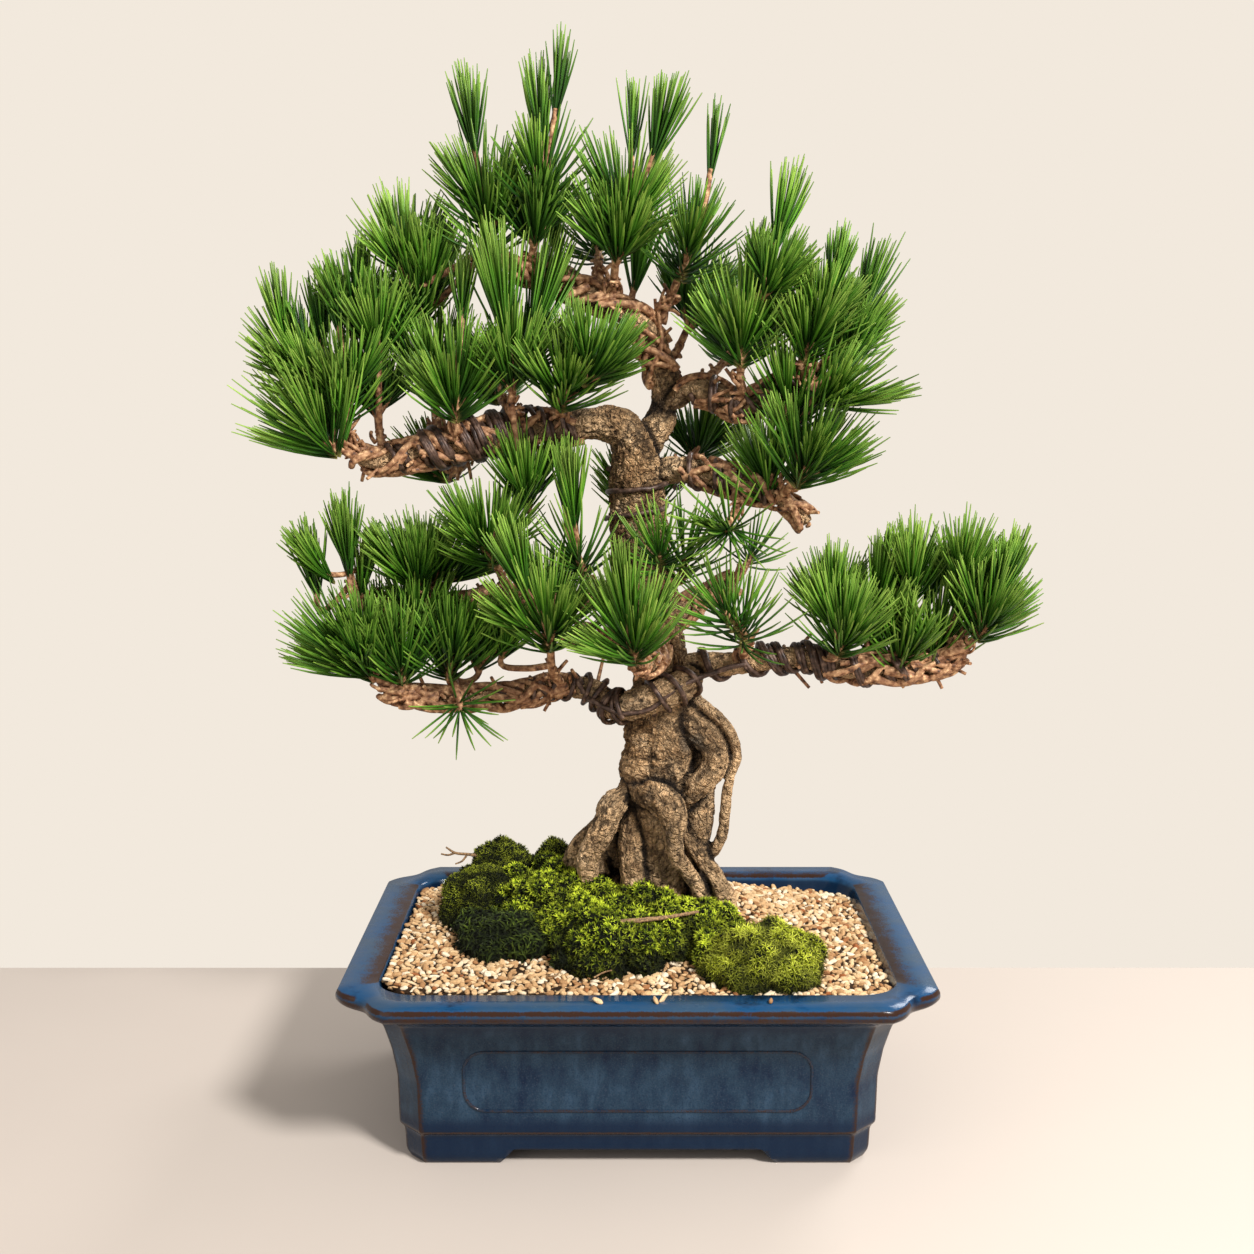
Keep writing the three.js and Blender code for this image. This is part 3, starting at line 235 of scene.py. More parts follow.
GREY_KNOT = (29, 0, 199, 5.5)  # a weathered patch on the trunk
TWIG_RADII = (2.8, 2.2)
CURLS_FROM = {"lowerLeft": 0.52, "lowerRight": 0.58}  # share of the limb before its first curl

# Training wires. A coil runs round a limb between two places on it, given as shares of its
# length, for a number of turns.
WIRE_RADIUS = 1.4
WIRE_LIFT = 0.9  # over the limb's frame, where no bark is met
WIRE_STEPS = 22  # rows of a wire in each of its turns
COILS = {
    "wire_left_branch": ("trunk", 0.72, 0.955, 9), "wire_trunk_bend": ("trunk", 0.535, 0.6, 2),
    "wire_upper_right": ("upperRight", 0.27, 0.86, 4), "wire_mid_right": ("midRight", 0.3, 0.72, 2),
}
# One wire serves both lower branches and crosses the front of the trunk between them.
LOWER_PAIR = (("lowerLeft", 0.7, 0.42, 5), ("lowerRight", 0.3, 0.92, 7))
CROSSING = [(-24, -3, 225), (-10, -7, 219), (6, -8, 221), (20, -6, 231), (34, 0, 237)]
# Further strands, seen where the wire lies double: as the coils, with how far they are turned
# and raised.
KNOTS = lists_in("""
wire_lower_pair: lowerLeft 0.06 0.2 3, lowerLeft 0.28 0.42 4, lowerLeft 0.27 0.4 3 1.5 0.8,
    lowerLeft 0.42 0.76 3 2.0 0.4, lowerLeft 0.42 0.76 3 2.6 0.4, lowerRight 0.06 0.6 4.5 0.0 0.4,
    lowerRight 0.06 0.6 4.5 0.42 0.4, lowerRight 0.3 0.9 4.5 2.4 1.8,
    lowerRight 0.3 0.9 4.5 2.85 1.8;
wire_left_branch: trunk 0.73 0.86 6 0.5 2.2, trunk 0.77 0.91 3 2.6 3.6, trunk 0.77 0.91 3 3.0 3.6,
    trunk 0.77 0.91 3 3.4 3.6, trunk 0.77 0.91 3 5.4 3.4, trunk 0.77 0.91 3 5.8 3.4,
    trunk 0.87 0.97 3 0.0 1.4;
wire_upper_right: upperRight 0.3 0.9 5 1.2 1.6;
wire_mid_right: midRight 0.2 0.75 4 1.2 1.2;
""")

# -------- shoots and needles

# Shoots: the limb that carries the shoot; its stem from the foot to the tip; its sides, each a
# point of the stem and the side's tip; and its tufts, each a point, a kind and perhaps its own
# needle length. The stem's points are counted first, then the tips of the sides.
SHOOTS = table("""
crown_left: apex: -76 8 462, -77 8 472, -79 8 486, -84 10 514: : 1 open, 2 open, 3 candle;
crown_middle: apex: -54 3 457, -51 -4 471, -47 -6 492, -49 -4 515: 2 -41 -8 527: 1 fan 30, 2 open,
    3 candle, 4 thin;
crown_right: apex: -12 6 446, -10 -6 462, -4 -10 478, 9 -12 507: 2 -3 -4 508: 1 fan, 2 open,
    3 candle, 4 thin;
crown_far_right: apex: 19 16 440, 26 2 458, 33 0 477, 37 0 499: : 1 open, 3 thin 34;
crown_back: apex: -21 38 456, -21 54 470: : 1 open;
inner_candle: apex: -4 36 432, -1 38 446: : 1 candle 48;
inner_right: apex: 24 38 414, 31 42 430: : 1 fan;
inner_left: apex: -40 28 452, -43 32 466: : 1 candle 36;
upper_right_front: upperRight: 53 -4 398, 53 -9 414, 57 -12 433, 71 -10 465: 2 68 -22 442,
    1 62 8 447: 1 rosette 42, 2 candle, 3 candle, 4 fan 30, 5 thin 30;
upper_right_middle: upperRight: 84 -10 404, 88 -12 416, 94 -14 427, 99 -12 442: : 1 rosette,
    2 rosette 30, 3 candle 30;
upper_right_tip: upperRight: 100 2 405, 108 8 414, 115 10 425: : 1 rosette, 2 candle 44;
upper_right_low: upperRight: 92 -18 388, 102 -24 381: : 1 rosette 42;
upper_right_back: upperRight: 46 42 402, 54 62 412: : 1 rosette;
mid_right_tip: midRight: 80 -16 342, 86 -24 351: : 1 rosette 48;
mid_right_back: midRight: 30 42 352, 36 60 358: : 1 rosette;
mid_right_front: midRight: 50 -12 326, 44 -26 318: : 1 airy, 1 candle 34;
trunk_front: trunk: 13 -8 294, 11 -28 306: : 1 airy 36;
left_tip_high: trunk: -150 -6 368, -150 -8 386, -153 -4 424: 1 -175 2 416: 1 rosette, 2 candle 24,
    3 candle 24;
left_tip_low: trunk: -154 -14 360, -162 -16 366: : 1 rosette 50;
left_high_a: trunk: -135 4 368, -137 8 384, -141 10 412, -142 8 439: : 1 fan, 3 candle 28;
left_high_b: trunk: -106 10 374, -106 12 396, -116 16 432: 2 -125 12 461, 2 -107 24 452: 1 rosette,
    2 rosette 34, 3 candle 28, 4 candle 28;
left_high_c: trunk: -93 -12 373, -92 -16 386, -89 -8 430: : 1 rosette 46, 2 candle 28;
left_two_lobed: trunk: -65 -8 382, -63 -11 398, -67 -13 416: 1 -54 -6 415: 1 fan, 2 candle 58,
    3 candle 58;
left_inner: trunk: -40 -6 380, -37 -17 389: 1 -21 -24 398: 1 rosette, 2 fan;
left_back_a: trunk: -73 40 382, -80 60 390: : 1 rosette;
left_back_b: trunk: -100 34 345, -112 50 344: : 1 rosette;
mid_left_trunk: midLeft: -25 -4 290, -30 -20 302, -32 -26 326: : 1 airy, 2 candle;
mid_left_front: midLeft: -74 8 294, -78 -8 308, -63 -4 327: : 1 rosette, 2 candle 26;
mid_left_middle: midLeft: -114 8 284, -122 2 292: 0 -106 20 290: 1 fan 32, 2 fan;
mid_left_tip: midLeft: -151 2 288, -153 -4 302: 0 -145 14 298, 0 -163 -12 294: 1 candle 34,
    2 candle 24, 3 candle 34;
low_left_tip: lowerLeft: -137 -12 239, -143 -14 246, -151 -16 250: 0 -136 4 250: 1 fan,
    2 rosette 44, 3 candle 36;
low_left_hanging: lowerLeft: -98 2 235, -95 -12 233, -92 -20 223: 0 -100 9 249: 2 sparse, 3 fan;
low_left_front: lowerLeft: -45 -14 246, -46 -34 268, -58 -36 292: : 1 rosette 42, 2 candle;
low_front: front: 1 -44 255, -4 -54 265, -6 -60 281: : 1 rosette 44, 2 candle;
low_right_front: lowerRight: 56 -8 256, 54 -24 267, 44 -32 277: : 1 airy, 2 airy;
low_right_middle: lowerRight: 105 -12 254, 108 -18 264: 0 104 8 272: 1 rosette, 2 fan;
low_right_a: lowerRight: 124 4 254, 125 8 264, 128 4 276: : 1 fan, 2 candle 44;
low_right_b: lowerRight: 144 2 256, 143 6 278: 0 157 12 278: 1 candle 36, 2 candle 34;
low_right_c: lowerRight: 168 4 264, 178 8 282: : 1 fan 32;
low_right_tip: lowerRight: 177 -12 261, 182 -16 272, 188 -14 286: : 1 rosette 32, 2 candle 30;
low_back: lowBack: 2 62 316, 1 70 324: : 1 rosette 36;
low_back_right: rightBack: 61 60 288, 66 68 295: : 1 sparse 30;
low_back_left: leftBack: -46 60 260, -52 68 267: : 1 rosette 36;
""")
SHOOT_RADII = (2.2, 1.5)

# Tufts: how far the needles lean out from the stem in degrees, their number, their length and
# the stretch of stem that they cover.
TUFTS = {
    "rosette": (64, 80, 38, 15), "fan": (42, 64, 37, 11), "candle": (19, 48, 38, 9),
    "thin": (12, 20, 38, 8), "brush": (27, 34, 36, 9), "sparse": (80, 24, 34, 8),
    "airy": (76, 40, 38, 14), "open": (74, 62, 38, 17),
}
LOWEST = {"sparse": -1.5, "airy": -0.2, "open": 0.0}  # how far down a needle may point: 0 is level
TUFT_LIFT = 0.5  # how much more upright the tufts stand than their stems
# Tufts between the others: place, growth direction, kind and needle length. Each belongs to the
# nearest shoot.
EXTRA_TUFTS = rows_in("""
-141 -6 250 -0.5 -0.2 0.8 rosette 42, -125 -14 248 -0.1 -0.3 1 rosette 40,
-119 6 266 -0.1 0 1 fan 38, -169 -6 287 -0.15 0 1 candle 36, -152 -2 297 -0.05 0 1 candle 38,
-146 4 286 0.15 0 1 candle 30, -100 -8 250 0 -0.25 1 rosette 38, -114 4 286 -0.1 0 1 candle 40,
-82 2 250 0.3 -0.1 1 fan 34, -69 -2 258 0.25 0 1 fan 26, 67 0 344 -0.15 -0.1 1 rosette 36,
139 -4 254 0 -0.2 1 rosette 36, 160 2 256 0.2 -0.1 1 rosette 36, 127 4 258 -0.1 0 1 fan 34,
178 0 269 0.5 0 1 fan 34, 146 4 286 0 0 1 fan 38, 172 2 289 0.2 0 1 fan 38,
194 0 285 0.3 0 1 candle 34, -120 6 455 -0.2 0 1 fan 40, -108 14 445 0.1 0 1 fan 36,
-182 0 416 -0.15 0 1 candle 36, -163 4 417 0.05 0 1 candle 36, -146 2 424 0 0 1 fan 38,
-132 -4 415 0.1 -0.1 1 fan 36, -166 -4 389 -0.7 -0.1 0.8 rosette 40, -178 4 400 -0.6 0 0.8 fan 36,
-37 -2 332 0 -0.1 1 candle 34, -58 0 337 -0.1 -0.2 1 fan 36, 25 -6 302 0.1 -0.3 1 airy 36,
107 0 400 0.4 0 1 fan 36, 82 -4 381 0.2 -0.1 1 rosette 36
""")
# Painted light and shade on the foliage, as spots lighter or darker than elsewhere: (x, z, reach,
# amount).
LIT_AND_SHADED_SPOTS = [(-8, 275, 60, 0.55), (-115, 255, 50, -0.35), (120, 275, 60, 0.15)]


# -------- lines and meshes


def smooth_line(rows, fine=16):
    """Close-set rows along the smooth line through (x, y, z, radius) rows."""
    rows = np.array(rows, float)
    knots = np.vstack([2 * rows[0] - rows[1], rows, 2 * rows[-1] - rows[-2]])
    share = (np.arange(fine) / fine)[:, None]
    found = []
    for before, start, end, after in zip(knots, knots[1:], knots[2:], knots[3:]):
        p, q, r, s = (row[:3] for row in (before, start, end, after))
        a, b, c = (max(norm(w) ** 0.5, 1e-6) for w in (q - p, r - q, s - r))
        leave = b * ((q - p) / a - (r - p) / (a + b) + (r - q) / b)
        arrive = b * ((r - q) / b - (s - q) / (b + c) + (s - r) / c)
        square = -3 * q + 3 * r - 2 * leave - arrive
        cubic = 2 * q - 2 * r + leave + arrive
        points = q + leave * share + square * share**2 + cubic * share**3
        found.append(np.hstack([points, start[3] + (end[3] - start[3]) * share]))
    return np.vstack([*found, rows[-1:]])


def travelled(points):
    """The way travelled along a line at each of its points."""
    steps = norm(np.diff(points[:, :3], axis=0), axis=1)
    return np.concatenate([[0], np.cumsum(steps)])


def spaced(line, count):
    """The line's rows again, at even steps of its length."""
    way = travelled(line)
    places = np.linspace(0, way[-1], count)
    return np.column_stack([np.interp(places, way, column) for column in line.T])


def frames_along(points):
    """A line's directions and two sideways directions, which turn as little as they can."""
    ways = np.gradient(points, axis=0)
    ways /= norm(ways, axis=1)[:, None]
    side = np.cross(ways[0], np.cross(ways[0], np.eye(3)[np.argmin(abs(ways[0]))]))
    sides = []
    for way in ways:
        side = unit(side - way * (side @ way))
        sides.append(side)
    return ways, np.array(sides), np.cross(ways, sides)


def full_turn(count):
    """Even angles round a circle."""
    return np.arange(count) * 2 * np.pi / count


def unit(vector):
    return vector / norm(vector)


def softened(values):
    """The values, each but the ends mixed with its neighbours."""
    values[1:-1] = (values[:-2] + 2 * values[1:-1] + values[2:]) / 4


def new_object(name, points, faces=(), edges=(), attributes=None):
    """An object at the origin, from points in millimetres. Attributes belong to its points."""
    mesh = bpy.data.meshes.new(name)
    mesh.from_pydata((np.asarray(points, float) * MM).tolist(), list(edges), list(faces))
    add_attributes(mesh, attributes or {})
    obj = bpy.data.objects.new(name, mesh)
    bpy.context.scene.collection.objects.link(obj)
    return obj


def add_attributes(mesh, attributes):
    """Stores one number or one vector for each of the mesh's points."""
    for key, values in attributes.items():
        values = np.asarray(values, np.float32)
        kind, field = ("FLOAT", "value") if values.ndim == 1 else ("FLOAT_VECTOR", "vector")
        mesh.attributes.new(key, kind, "POINT").data.foreach_set(field, values.ravel())


def join_meshes(parts):
    """Points and faces of several (points, faces) meshes as one."""
    points, faces, start = [], [], 0
    for part_points, part_faces in parts:
        points.append(part_points)
        faces += [tuple(corner + start for corner in face) for face in part_faces]
        start += len(part_points)
    return np.vstack(points), faces


def ring_faces(rings, around, closed=False):
    """Faces between rings of points. The last ring meets the first one again, or else one point
    closes each end."""
    faces = []
    for ring in range(rings if closed else rings - 1):
        low, high = ring * around, (ring + 1) % rings * around
        for place in range(around):
            after = (place + 1) % around
            faces.append((low + place, low + after, high + after, high + place))
    if not closed:
        first, last, top = rings * around, rings * around + 1, (rings - 1) * around
        for place in range(around):
            after = (place + 1) % around
            faces += [(first, after, place), (last, top + place, top + after)]
    return faces


def tube(line, sides):
    """Points and faces of a closed round bar along (x, y, z, radius) rows."""
    centres, radii = line[:, :3], line[:, 3, None, None]
    _, side, other = frames_along(centres)
    turns = full_turn(sides)[None, :, None]
    around = np.cos(turns) * side[:, None] + np.sin(turns) * other[:, None]
    points = (centres[:, None] + radii * around).reshape(-1, 3)
    return np.vstack([points, centres[0], centres[-1]]), ring_faces(len(line), sides)


def settle(obj):
    """Applies the object's modifiers to its own mesh."""
    graph = bpy.context.evaluated_depsgraph_get()
    mesh = bpy.data.meshes.new_from_object(obj.evaluated_get(graph), depsgraph=graph)
    obj.modifiers.clear()
    obj.data = mesh


def mesh_points(obj):
    """The points of the object's mesh, in millimetres."""
    values = np.zeros(len(obj.data.vertices) * 3, np.float32)
    obj.data.vertices.foreach_get("co", values)
    return values.reshape(-1, 3) / MM


def dress(obj, paint):
    """Shades the object's faces smooth and gives it its only material."""
    obj.data.polygons.foreach_set("use_smooth", [True] * len(obj.data.polygons))
    obj.data.update()
    obj.data.materials.clear()
    obj.data.materials.append(paint)


def put_on(obj, slot, *nodes):
    """Attaches the object to the root body, and hides the nodes of the frame that it stands for."""
    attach(obj, "root")
    if nodes:
        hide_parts(*nodes)


def face_outwards(obj):
    """Turns every closed part of the object's mesh to face outwards."""
    work = bmesh.new()
    work.from_mesh(obj.data)
    bmesh.ops.recalc_face_normals(work, faces=work.faces)
    work.to_mesh(obj.data)
    work.free()


def grain_at(x, y):
    """A repeatable number from -1 to 1 for a place."""
    wave = np.sin(np.asarray(x) * 12.9898 + np.asarray(y) * 78.233) * 43758.5453
    return 2 * (wave - np.floor(wave)) - 1


# -------- node trees


def sign(operation, swapped=False):
    """The method for a sign between two values. It adds a math node to their tree."""
    def reckon(value, other):
        nodes, pair = value.nodes, (other, value) if swapped else (value, other)
        return (nodes.vector if value.is_vector else nodes.math)(operation, *pair)
    return reckon


class Value:
    """What a socket gives, which can be reckoned with like a number or a vector."""

    __add__, __sub__, __truediv__, __pow__ = map(sign, ("ADD", "SUBTRACT", "DIVIDE", "POWER"))
    __rsub__, times = sign("SUBTRACT", swapped=True), sign("MULTIPLY")

    def __init__(self, nodes, socket):
        self.nodes, self.socket = nodes, socket
        self.is_vector = socket.type in ("VECTOR", "RGBA")

    def __mul__(self, other):
        if self.is_vector and not isinstance(other, tuple):
            return self.nodes.out("ShaderNodeVectorMath", {0: self, 3: other}, operation="SCALE")
        return self.times(other)


class Nodes:
    """Adds nodes to one tree and joins them."""

    def __init__(self, tree):
        self.tree = tree

    def add(self, kind, inputs=None, **settings):
        """A new node. A number, a value or a node can go into an input."""
        node = self.tree.nodes.new(kind)
        for name, value in settings.items():
            setattr(node, name, value)
        for key, value in (inputs or {}).items():
            self.put(node.inputs[key], value)
        return node

    def out(self, kind, inputs=None, output=0, **settings):
        """What one output of a new node gives."""
        return Value(self, self.add(kind, inputs, **settings).outputs[output])

    def put(self, socket, value):
        if isinstance(value, bpy.types.Node):
            self.tree.links.new(value.outputs[0], socket)
        elif isinstance(value, Value):
            self.tree.links.new(value.socket, socket)
        else:
            socket.default_value = value

    def math(self, operation, a, b=0.0):
        return self.out("ShaderNodeMath", {0: a, 1: b}, operation=operation)

    def vector(self, operation, a, b=(0, 0, 0)):
        return self.out("ShaderNodeVectorMath", {0: a, 1: b}, operation=operation)

    def joined(self, x, y, z):
        return self.out("ShaderNodeCombineXYZ", {0: x, 1: y, 2: z})

    def parts(self, vector):
        """The three numbers of a vector."""
        node = self.add("ShaderNodeSeparateXYZ", {0: vector})
        return [Value(self, output) for output in node.outputs]

    def between(self, value, low, high, out_low=0.0, out_high=1.0):
        """The value's place between low and high, as a number from out_low to out_high."""
        inputs = {0: value, 1: low, 2: high, 3: out_low, 4: out_high}
        return self.out("ShaderNodeMapRange", inputs)

    def noise(self, place, scale, detail=2.0, roughness=0.5, output=0):
        inputs = {"Vector": place, "Scale": scale, "Detail": detail, "Roughness": roughness}
        return self.out("ShaderNodeTexNoise", inputs, output)

    def swayed(self, place, scale, detail, reach):
        """The place, moved about by a noise."""
        sway = self.noise(place, scale, detail, output=1) - (0.5, 0.5, 0.5)
        return place + sway * reach

    def cells(self, place, scale, feature="F1"):
        """How far a place is from the middle of its cell, or from its cell's edge."""
        inputs = {"Vector": place, "Scale": scale}
        return self.out("ShaderNodeTexVoronoi", inputs, feature=feature)

    def seams(self, place, scale):
        return self.cells(place, scale, "DISTANCE_TO_EDGE")


class Growth(Nodes):
    """A geometry tree with named inputs, which ends in Realize Instances and Set Material."""

    KINDS = {
        "float": "NodeSocketFloat", "int": "NodeSocketInt", "material": "NodeSocketMaterial",
        "object": "NodeSocketObject",
    }

    def __init__(self, name, **inputs):
        super().__init__(bpy.data.node_groups.new(name, "GeometryNodeTree"))
        face = self.tree.interface
        face.new_socket("Geometry", in_out="INPUT", socket_type="NodeSocketGeometry")
        for key, kind in {**inputs, "material": "material"}.items():
            face.new_socket(key.capitalize(), in_out="INPUT", socket_type=self.KINDS[kind])
        face.new_socket("Geometry", in_out="OUTPUT", socket_type="NodeSocketGeometry")
        self.entry = self.add("NodeGroupInput")

    def given(self, name):
        return Value(self, self.entry.outputs[name])

    def attribute(self, name, kind="FLOAT"):
        return self.out("GeometryNodeInputNamedAttribute", {0: name}, data_type=kind)

    def vector_attribute(self, name):
        return self.attribute(name, "FLOAT_VECTOR")

    def store(self, geometry, **attributes):
        for name, value in attributes.items():
            kind = "FLOAT_VECTOR" if value.is_vector else "FLOAT"
            inputs = {0: geometry, 2: name, 3: value}
            geometry = self.add("GeometryNodeStoreNamedAttribute", inputs, data_type=kind)
        return geometry

    def random(self, low, high, draw):
        """A number, or a vector, between low and high at each point: its own for each draw."""
        wide = isinstance(low, tuple)
        inputs = {0 if wide else 2: low, 1 if wide else 3: high, 8: self.given("Seed") + draw}
        return self.out("FunctionNodeRandomValue", inputs, 0 if wide else 1,
                        data_type="FLOAT_VECTOR" if wide else "FLOAT")

    def scattered(self, surface, most, share=1.0):
        """Points on faces, none closer than the spacing, and the faces' directions at them."""
        node = self.add("GeometryNodeDistributePointsOnFaces", {
            0: surface, 2: self.given("Spacing"), 3: most, 5: share, 6: self.given("Seed"),
        }, distribute_method="POISSON")
        return node, Value(self, node.outputs["Normal"])

    def moved(self, geometry, offset):
        return self.add("GeometryNodeSetPosition", {0: geometry, 3: offset})

    def upright(self, way):
        """The turn that lays the Z axis along a direction."""
        return self.out("FunctionNodeAlignRotationToVector", {2: way}, axis="Z")

    def copies(self, points, thing, turn, size):
        inputs = {0: points, 2: thing, 5: turn, 6: size}
        return self.add("GeometryNodeInstanceOnPoints", inputs)

    def end(self, geometry):
        real = self.add("GeometryNodeRealizeInstances", {0: geometry})
        shaded = self.add("GeometryNodeSetShadeSmooth", {0: real})
        finish = {0: shaded, 2: self.given("Material")}
        self.add("NodeGroupOutput", {0: self.add("GeometryNodeSetMaterial", finish)})
        return self.tree


def grow(obj, tree, **inputs):
    """Runs a node tree on the object and keeps what it makes as the object's plain mesh."""
    modifier = obj.modifiers.new(tree.name, "NODES")
    modifier.node_group = tree
    wanted = {key.capitalize(): value for key, value in inputs.items()}
    for item in tree.interface.items_tree:
        if item.in_out == "INPUT" and item.name in wanted:
            modifier[item.identifier] = wanted.pop(item.name)
    if wanted:
        raise RuntimeError(f"{tree.name} has no input {sorted(wanted)}")
    settle(obj)
    if not obj.data.polygons:
        raise RuntimeError(f"{obj.name} came out empty")


def bar_tree():
    """Round bars along the object's edges. The points' 'thick' is the bar's radius."""
    tree = Growth("Bars along lines", sides="int")
    line = tree.add("GeometryNodeMeshToCurve", {0: tree.given("Geometry")})
    kept = tree.store(line, along=tree.out("GeometryNodeSplineParameter", output="Factor"))
    ring = tree.add("GeometryNodeCurvePrimitiveCircle", {0: tree.given("Sides"), 4: 1.0})
    inputs = {0: kept, 1: ring, 2: tree.attribute("thick"), 3: True}
    return tree.end(tree.add("GeometryNodeCurveToMesh", inputs))


def needle_tree():
    """Tufts of needles. Each point is a tuft, with the stem's direction, the lean of the outer
    needles, their number and length, and the stretch of stem that they leave from."""
    tree = Growth("Needle tufts", width="float", bend="float", droop="float", seed="int",
                  sides="int")
    count, growth = tree.attribute("count"), tree.vector_attribute("growth")
    needles = tree.add("GeometryNodeDuplicateElements", {0: tree.given("Geometry"), 2: count},
                       domain="POINT")
    number = Value(tree, needles.outputs["Duplicate Index"])
    share = (number + tree.random(0.0, 1.0, 0)) / count
    lean = tree.attribute("lean") * share**0.62 + tree.random(-0.1, 0.1, 1)
    turn = number * float(GOLDEN_ANGLE) + tree.random(-0.5, 0.5, 2)
    out, ahead = tree.math("SINE", lean), tree.math("COSINE", lean)
    local = tree.joined(out * tree.math("COSINE", turn), out * tree.math("SINE", turn), ahead)
    way = tree.out("FunctionNodeRotateVector", {0: local, 1: tree.upright(growth)})
    x, y, z = tree.parts(way)
    raised = tree.math("MAXIMUM", z, tree.attribute("lowest") + z * 0.25)
    way = tree.vector("NORMALIZE", tree.joined(x, y, raised))
    from_stem = (way - growth * ahead) * 0.0008
    down_stem = growth * (share * tree.attribute("whorl") * -1.0)
    kept = tree.store(
        tree.moved(needles, down_stem + from_stem), way=way,
        length=tree.attribute("reach") * tree.random(0.8, 1.04, 3),
        tone=tree.random(0.0, 1.0, 4), bow=tree.random((-1, -1, -1), (1, 1, 1), 5),
    )
    straight = tree.add("GeometryNodeCurvePrimitiveLine", {0: (0, 0, 0), 1: (0, 0, 1)})
    straight = tree.add("GeometryNodeResampleCurve", {0: straight, 2: 5})
    way, length = tree.vector_attribute("way"), tree.attribute("length")
    real = tree.add("GeometryNodeRealizeInstances", {
        0: tree.copies(kept, straight, tree.upright(way), tree.joined(1.0, 1.0, length))})
    along = tree.out("GeometryNodeSplineParameter", output="Factor")
    bow = (growth - way) * tree.given("Bend") + tree.vector_attribute("bow") * 0.05
    bow = bow + tree.joined(0.0, 0.0, tree.given("Droop") * -1.0)
    bent = tree.store(tree.moved(real, bow * (along * along * length)), along=along)
    thick = tree.given("Width") * (1.0 - along**7.0 * 0.6)
    ring = tree.add("GeometryNodeCurvePrimitiveCircle", {0: tree.given("Sides"), 4: 0.5})
    return tree.end(tree.add("GeometryNodeCurveToMesh", {0: bent, 1: ring, 2: thick, 3: False}))


def grit_tree():
    """Grains scattered over the object's faces, more where 'bare' is high."""
    tree = Growth("Grit", spacing="float", size="float", sink="float", seed="int", roundness="int")
    points, normal = tree.scattered(tree.given("Geometry"), 400000.0, tree.attribute("bare"))
    placed = tree.moved(points, normal * (tree.given("Sink") * -1.0))
    kept = tree.store(placed, tone=tree.random(0.0, 1.0, 1))
    grain = tree.add("GeometryNodeMeshIcoSphere", {0: 0.5, 1: tree.given("Roundness")})
    tilt = tree.random((-0.5, -0.5, 0.0), (0.5, 0.5, 6.283), 2)
    shape = tree.random((0.95, 0.6, 0.5), (2.0, 1.0, 0.8), 3)
    shape = shape * (tree.random(0.75, 1.2, 4) * tree.given("Size"))
    real = tree.add("GeometryNodeRealizeInstances", {0: tree.copies(kept, grain, tilt, shape)})
    place = tree.vector("ADD", tree.out("GeometryNodeInputPosition"), tree.attribute("tone") * 3.7)
    lump = (tree.noise(place, 260.0) - 0.5) * (tree.given("Size") * 0.55)
    return tree.end(tree.moved(real, tree.out("GeometryNodeInputNormal") * lump))


def cover_tree():
    """A knobbly cushion with copies of a small leafy shape all over it, leaning outwards."""
    tree = Growth("Moss cover", leaf="object", spacing="float", size="float", lean="float",
                  knob="float", seed="int")
    place = tree.out("GeometryNodeInputPosition")
    knobs = tree.cells(tree.swayed(place, 70.0, 2.0, 0.012), 80.0)
    rise = (0.42 - knobs**1.6) * tree.given("Knob")
    lumpy = tree.moved(tree.given("Geometry"), tree.out("GeometryNodeInputNormal") * rise)
    # This marks the hollows between the knobs, where the moss gets painted shade.
    lumpy = tree.store(lumpy, hollow=tree.between(knobs, 0.36, 0.7))
    points, normal = tree.scattered(lumpy, 3000000.0)
    way = normal + tree.random((-1, -1, -1), (1, 1, 1), 1) * tree.given("Lean")
    spin = tree.out("FunctionNodeAxisAngleToRotation", {
        0: (0, 0, 1), 1: tree.random(0.0, 6.283, 2)})
    turned = tree.out("FunctionNodeRotateRotation", {0: tree.upright(way), 1: spin},
                      rotation_space="LOCAL")
    kept = tree.store(points, tone=tree.random(0.0, 1.0, 3))
    leaf = tree.out("GeometryNodeObjectInfo", {0: tree.given("Leaf")}, "Geometry")
    leaves = tree.copies(kept, leaf, turned, tree.given("Size") * tree.random(0.65, 1.25, 4))
    both = tree.add("GeometryNodeJoinGeometry", {0: leaves})
    tree.put(both.inputs[0], lumpy)
    return tree.end(both)


def bark_tree():
    """Bark relief: flaky plates with cracks between them, deeper where the wood is thick."""
    tree = Growth("Bark relief", depth="float")
    grain = tree.vector_attribute("grain")
    place = tree.swayed(grain, 170.0, 4.0, 0.011)
    crack = tree.between(tree.seams(place, 150.0), 0.0, 0.22, 1.0, 0.0)
    broad, fine = tree.noise(grain, 75.0), tree.noise(grain, 520.0, 3.0, 0.6)
    relief = broad * 2.2 + fine * 0.9 - crack * 0.6 - tree.cells(place, 330.0) * 0.45 - 1.25
    amount = tree.given("Depth") * tree.attribute("rugged")
    offset = relief * amount - tree.attribute("crease") * 0.0014
    raised = tree.moved(tree.given("Geometry"), tree.out("GeometryNodeInputNormal") * offset)
    # deep marks the low spots of the relief, crack bottoms among them, which the bark paint
    # darkens: partly dark cracks, partly painted shade.
    return tree.end(tree.store(raised, deep=tree.between(relief, -0.75, 0.35, 1.0, 0.0)))


# -------- materials


def colour(*rgb):
    """A screen colour, 0 to 255 each, as the linear values that Blender works with."""
    shares = np.array(rgb) / 255
    linear = np.where(shares > 0.04, ((shares + 0.055) / 1.055) ** 2.4, shares / 12.92)
    return tuple(map(float, linear))


